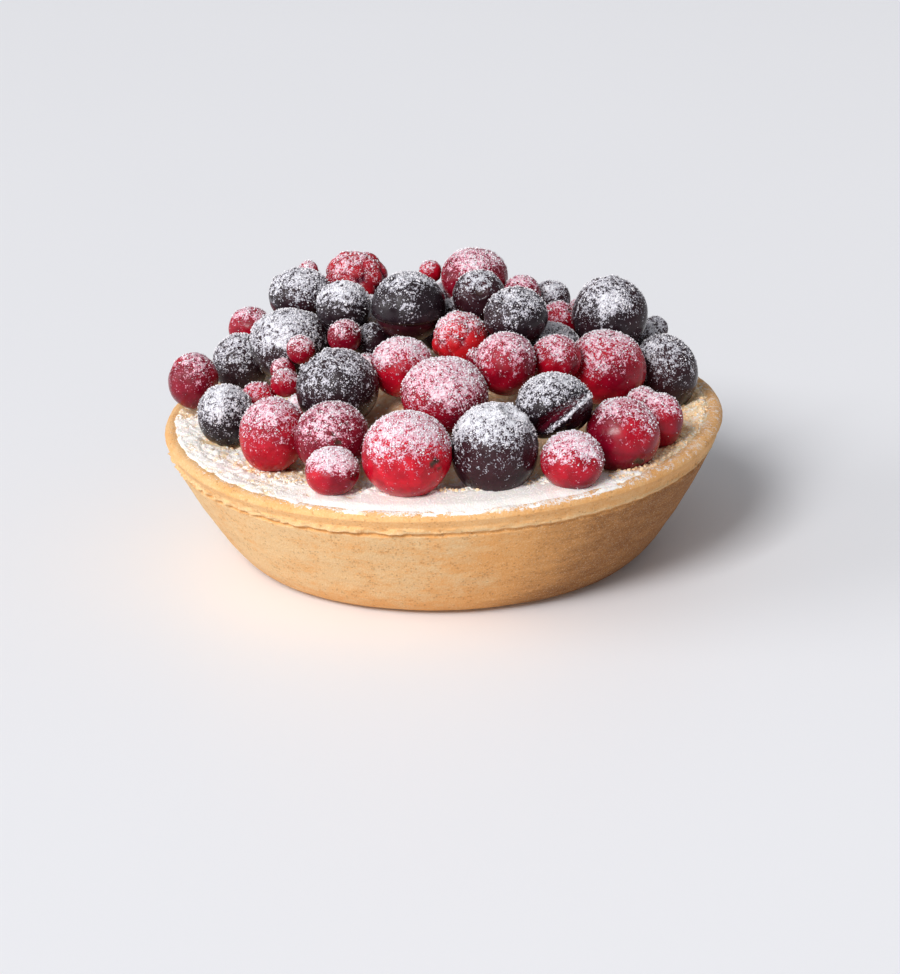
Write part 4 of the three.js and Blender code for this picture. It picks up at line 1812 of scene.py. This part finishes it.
@dataclass
class Sprinkling:
    """All loose grains: sugar on the fruit, sugar and crumbs on the filling.

    Fields:
        foot: radius of the crumbs that gather at the feet of the front berries.
        foot_width: how far they spread from it.
    """

    heap: Heap
    filling: Filling
    fine: Scatter = Scatter(
        "sugar_on_fruit", "cranberry_skin", count=22000, size=0.075 * MM, spread=0.45,
        facets=0, ragged=0.5, lift=1.3, seed=3,
    )
    clots: Scatter = Scatter(
        "sugar_clots_on_fruit", "cranberry_skin", count=9600, size=0.14 * MM, spread=0.5,
        facets=1, ragged=1.0, lift=0.7, seed=4,
    )
    grit: Scatter = Scatter(
        "sugar_on_filling", "almond_crumb", count=17000, size=0.125 * MM, spread=0.5,
        facets=0, ragged=0.6, lift=-0.15, seed=5,
    )
    pale: Scatter = Scatter(
        "pale_crumbs", "almond_crumb", count=2300, size=0.36 * MM, spread=0.5,
        facets=2, ragged=0.9, lift=-0.6, seed=6,
    )
    golden: Scatter = Scatter(
        "golden_crumbs", "almond_crumb", count=2300, size=0.28 * MM, spread=0.6,
        facets=2, ragged=1.1, lift=0.1, seed=7,
    )
    foot: float = 39.4 * MM
    foot_width: float = 1.3 * MM

    def build(self) -> None:
        """Strews each kind of grain."""
        self.strew_fruit()
        self.strew_bed()

    def strew_fruit(self) -> None:
        """Fine sugar and small clots on the berries."""
        sugar = Powder("icing_sugar", (0.86, 0.84, 0.86), (0.78, 0.75, 0.79)).make()
        fruit = joined(self.heap.shells, SUGAR)
        dusted = fruit.marks[SUGAR]
        shares = (0.02 + smooth_step(0.1, 0.85, dusted), smooth_step(0.3, 1.0, dusted))
        for scatter, share in zip((self.fine, self.clots), shares):
            hand_over(scatter.strew(fruit, share, sugar))

    def strew_bed(self) -> None:
        """Settled sugar on the filling, pale crumbs and, mostly at the right, golden ones."""
        bed = self.filling.shell
        sugar = bed.marks[SUGAR]
        x, y, height = bed.corners.T
        level = np.hypot(x, y)
        upper = smooth_step(15.0 * MM, 20.0 * MM, height)
        ring = smooth_step(27.0 * MM, 37.0 * MM, level) * upper
        loose = np.clip(sugar, 0.0, 1.0) * (0.45 + 0.55 * smooth_step(1.45, 0.9, sugar))
        bare = np.clip(1.15 - sugar, 0.0, 1.0) * (0.2 + 0.8 * ring) * smooth_step(0.98, 0.8, sugar)
        bare *= upper * smooth_step(48.5 * MM, 46.5 * MM, level)
        right = smooth_step(-0.1, 0.6, x / np.maximum(level, MM))
        foot = np.exp(-(((level - self.foot) / self.foot_width) ** 2)) * (y < -20.0 * MM)
        kinds = (
            (
                self.grit,
                (0.12 + loose) * (0.15 + 0.85 * ring),
                Powder("settled_sugar", (0.93, 0.89, 0.85), (0.91, 0.85, 0.79)),
            ),
            (
                self.pale,
                0.7 * bare * (1.0 - 0.8 * right) + 4.0 * foot,
                Powder("pale_crumb", (0.93, 0.90, 0.86), (0.92, 0.83, 0.71), 1.1 * MM),
            ),
            (
                self.golden,
                bare * (0.06 + 0.94 * right) + 0.8 * foot,
                Powder("golden_crumb", (0.94, 0.74, 0.50), (0.84, 0.54, 0.28), 1.2 * MM),
            ),
        )
        for scatter, share, powder in kinds:
            hand_over(scatter.strew(bed, share, powder.make()))


# ---------------------------------------------------------------------------------------------
# Studio
# ---------------------------------------------------------------------------------------------


@dataclass(frozen=True)
class Lamp:
    """A square light that faces the tart from far away.

    Fields:
        name: the light's name.
        azimuth: turn from the front in degrees, positive to the right.
        elevation: height above the table in degrees.
        width: length of its side.
        power: in watts.
    """

    name: str
    azimuth: float
    elevation: float
    width: float
    power: float

    def hang(self, distance: float) -> None:
        """Puts the light at that distance from the middle of the table.

        Args:
            distance: how far away it hangs.
        """
        lamp = bpy.data.lights.new(self.name, "AREA")
        lamp.size = self.width
        lamp.energy = self.power
        turn, rise = math.radians(self.azimuth), math.radians(self.elevation)
        level = math.cos(rise)
        towards = Vector((math.sin(turn) * level, -math.cos(turn) * level, math.sin(rise)))
        holder = linked(self.name, lamp)
        holder.location = towards * distance
        holder.rotation_euler = towards.to_track_quat("Z", "Y").to_euler()


@dataclass
class Studio:
    """A pale table, soft daylight from the left and the camera.

    Fields:
        target: what the camera looks at.
        distance: how far the camera is from it.
        elevation: how many degrees the camera looks down.
        roll: its tilt in degrees.
        lens: its focal length in millimetres.
        sight: how far it can see.
    """

    target: Triple = (1.1 * MM, 0.0, 10.2 * MM)
    distance: float = 0.8
    elevation: float = 20.45
    roll: float = -1.43
    lens: float = 164.3
    sight: float = 50.0
    table_half: float = 4.0
    table_colour: Colour = (0.82, 0.82, 0.85)
    table_cloud: Cloud = Cloud(0.2)
    table_roughness: float = 0.45
    room_colour: Colour = (0.95, 0.97, 1.0)
    room_strength: float = 0.34
    light_distance: float = 9.0
    lamps: tuple[Lamp, ...] = (
        Lamp("key", -30.0, 40.0, 3.4, 740.0),
        Lamp("side", -84.0, 20.0, 6.0, 350.0),
        Lamp("front", -15.0, 8.0, 5.0, 110.0),
    )

    def build(self) -> None:
        """Sets the table, the lights and the camera."""
        self.lay_table()
        self.light()
        self.aim_camera()

    def lay_table(self) -> None:
        """A wide matt table top."""
        bench = Surface("table_top")
        cloud = bench.ease(bench.noise(self.table_cloud), 0.3, 0.7, 0.99, 1.0)
        colour = bench.mix(1.0, self.table_colour, cloud, "MULTIPLY")
        material = bench.finish(colour, self.table_roughness, Specular_IOR_Level=0.3)
        corners = np.array([(-1, -1, 0), (1, -1, 0), (1, 1, 0), (-1, 1, 0)]) * self.table_half
        Shell(corners, np.array([[0, 1, 2, 3]])).to_object("table", material)

    def light(self) -> None:
        """A broad key light at the front left, a side light, a low front fill and a grey room."""
        scene = bpy.context.scene
        scene.view_settings.view_transform = "Standard"
        scene.world = bpy.data.worlds.new("room")
        scene.world.use_nodes = True
        bench = NodeBench(scene.world.node_tree)
        bench.fill(bench.tree.nodes["Background"], Color=self.room_colour, Strength=self.room_strength)
        for lamp in self.lamps:
            lamp.hang(self.light_distance)

    def aim_camera(self) -> None:
        """Looks down at the tart from the front, through a long lens, very slightly tilted."""
        tilt = math.radians(self.elevation)
        roll = math.radians(self.roll)
        back = Vector((0.0, -math.cos(tilt), math.sin(tilt)))
        level = Vector((1.0, 0.0, 0.0))
        upright = Vector((0.0, math.sin(tilt), math.cos(tilt)))
        right = math.cos(roll) * level + math.sin(roll) * upright
        up = math.cos(roll) * upright - math.sin(roll) * level
        camera = bpy.data.cameras.new("camera")
        camera.lens = self.lens
        camera.clip_end = self.sight
        holder = linked("camera", camera)
        turned = Matrix((right, up, back)).transposed().to_4x4()
        holder.matrix_world = Matrix.Translation(Vector(self.target) + self.distance * back) @ turned
        bpy.context.scene.camera = holder


def write_sizes() -> None:
    """Brings the view layer up to date."""
    bpy.context.view_layer.update()


def main() -> None:
    """Builds the tart and its studio, and reports each piece."""
    logging.basicConfig(level=logging.INFO, format="%(name)s: %(message)s")
    Studio().build()
    bake = Bake()
    heap = Heap.from_frame()
    heap.build()
    Crust(bake).build()
    filling = Filling(bake, heap)
    filling.build()
    Sprinkling(heap, filling).build()
    write_sizes()


if __name__ == "__main__":
    main()
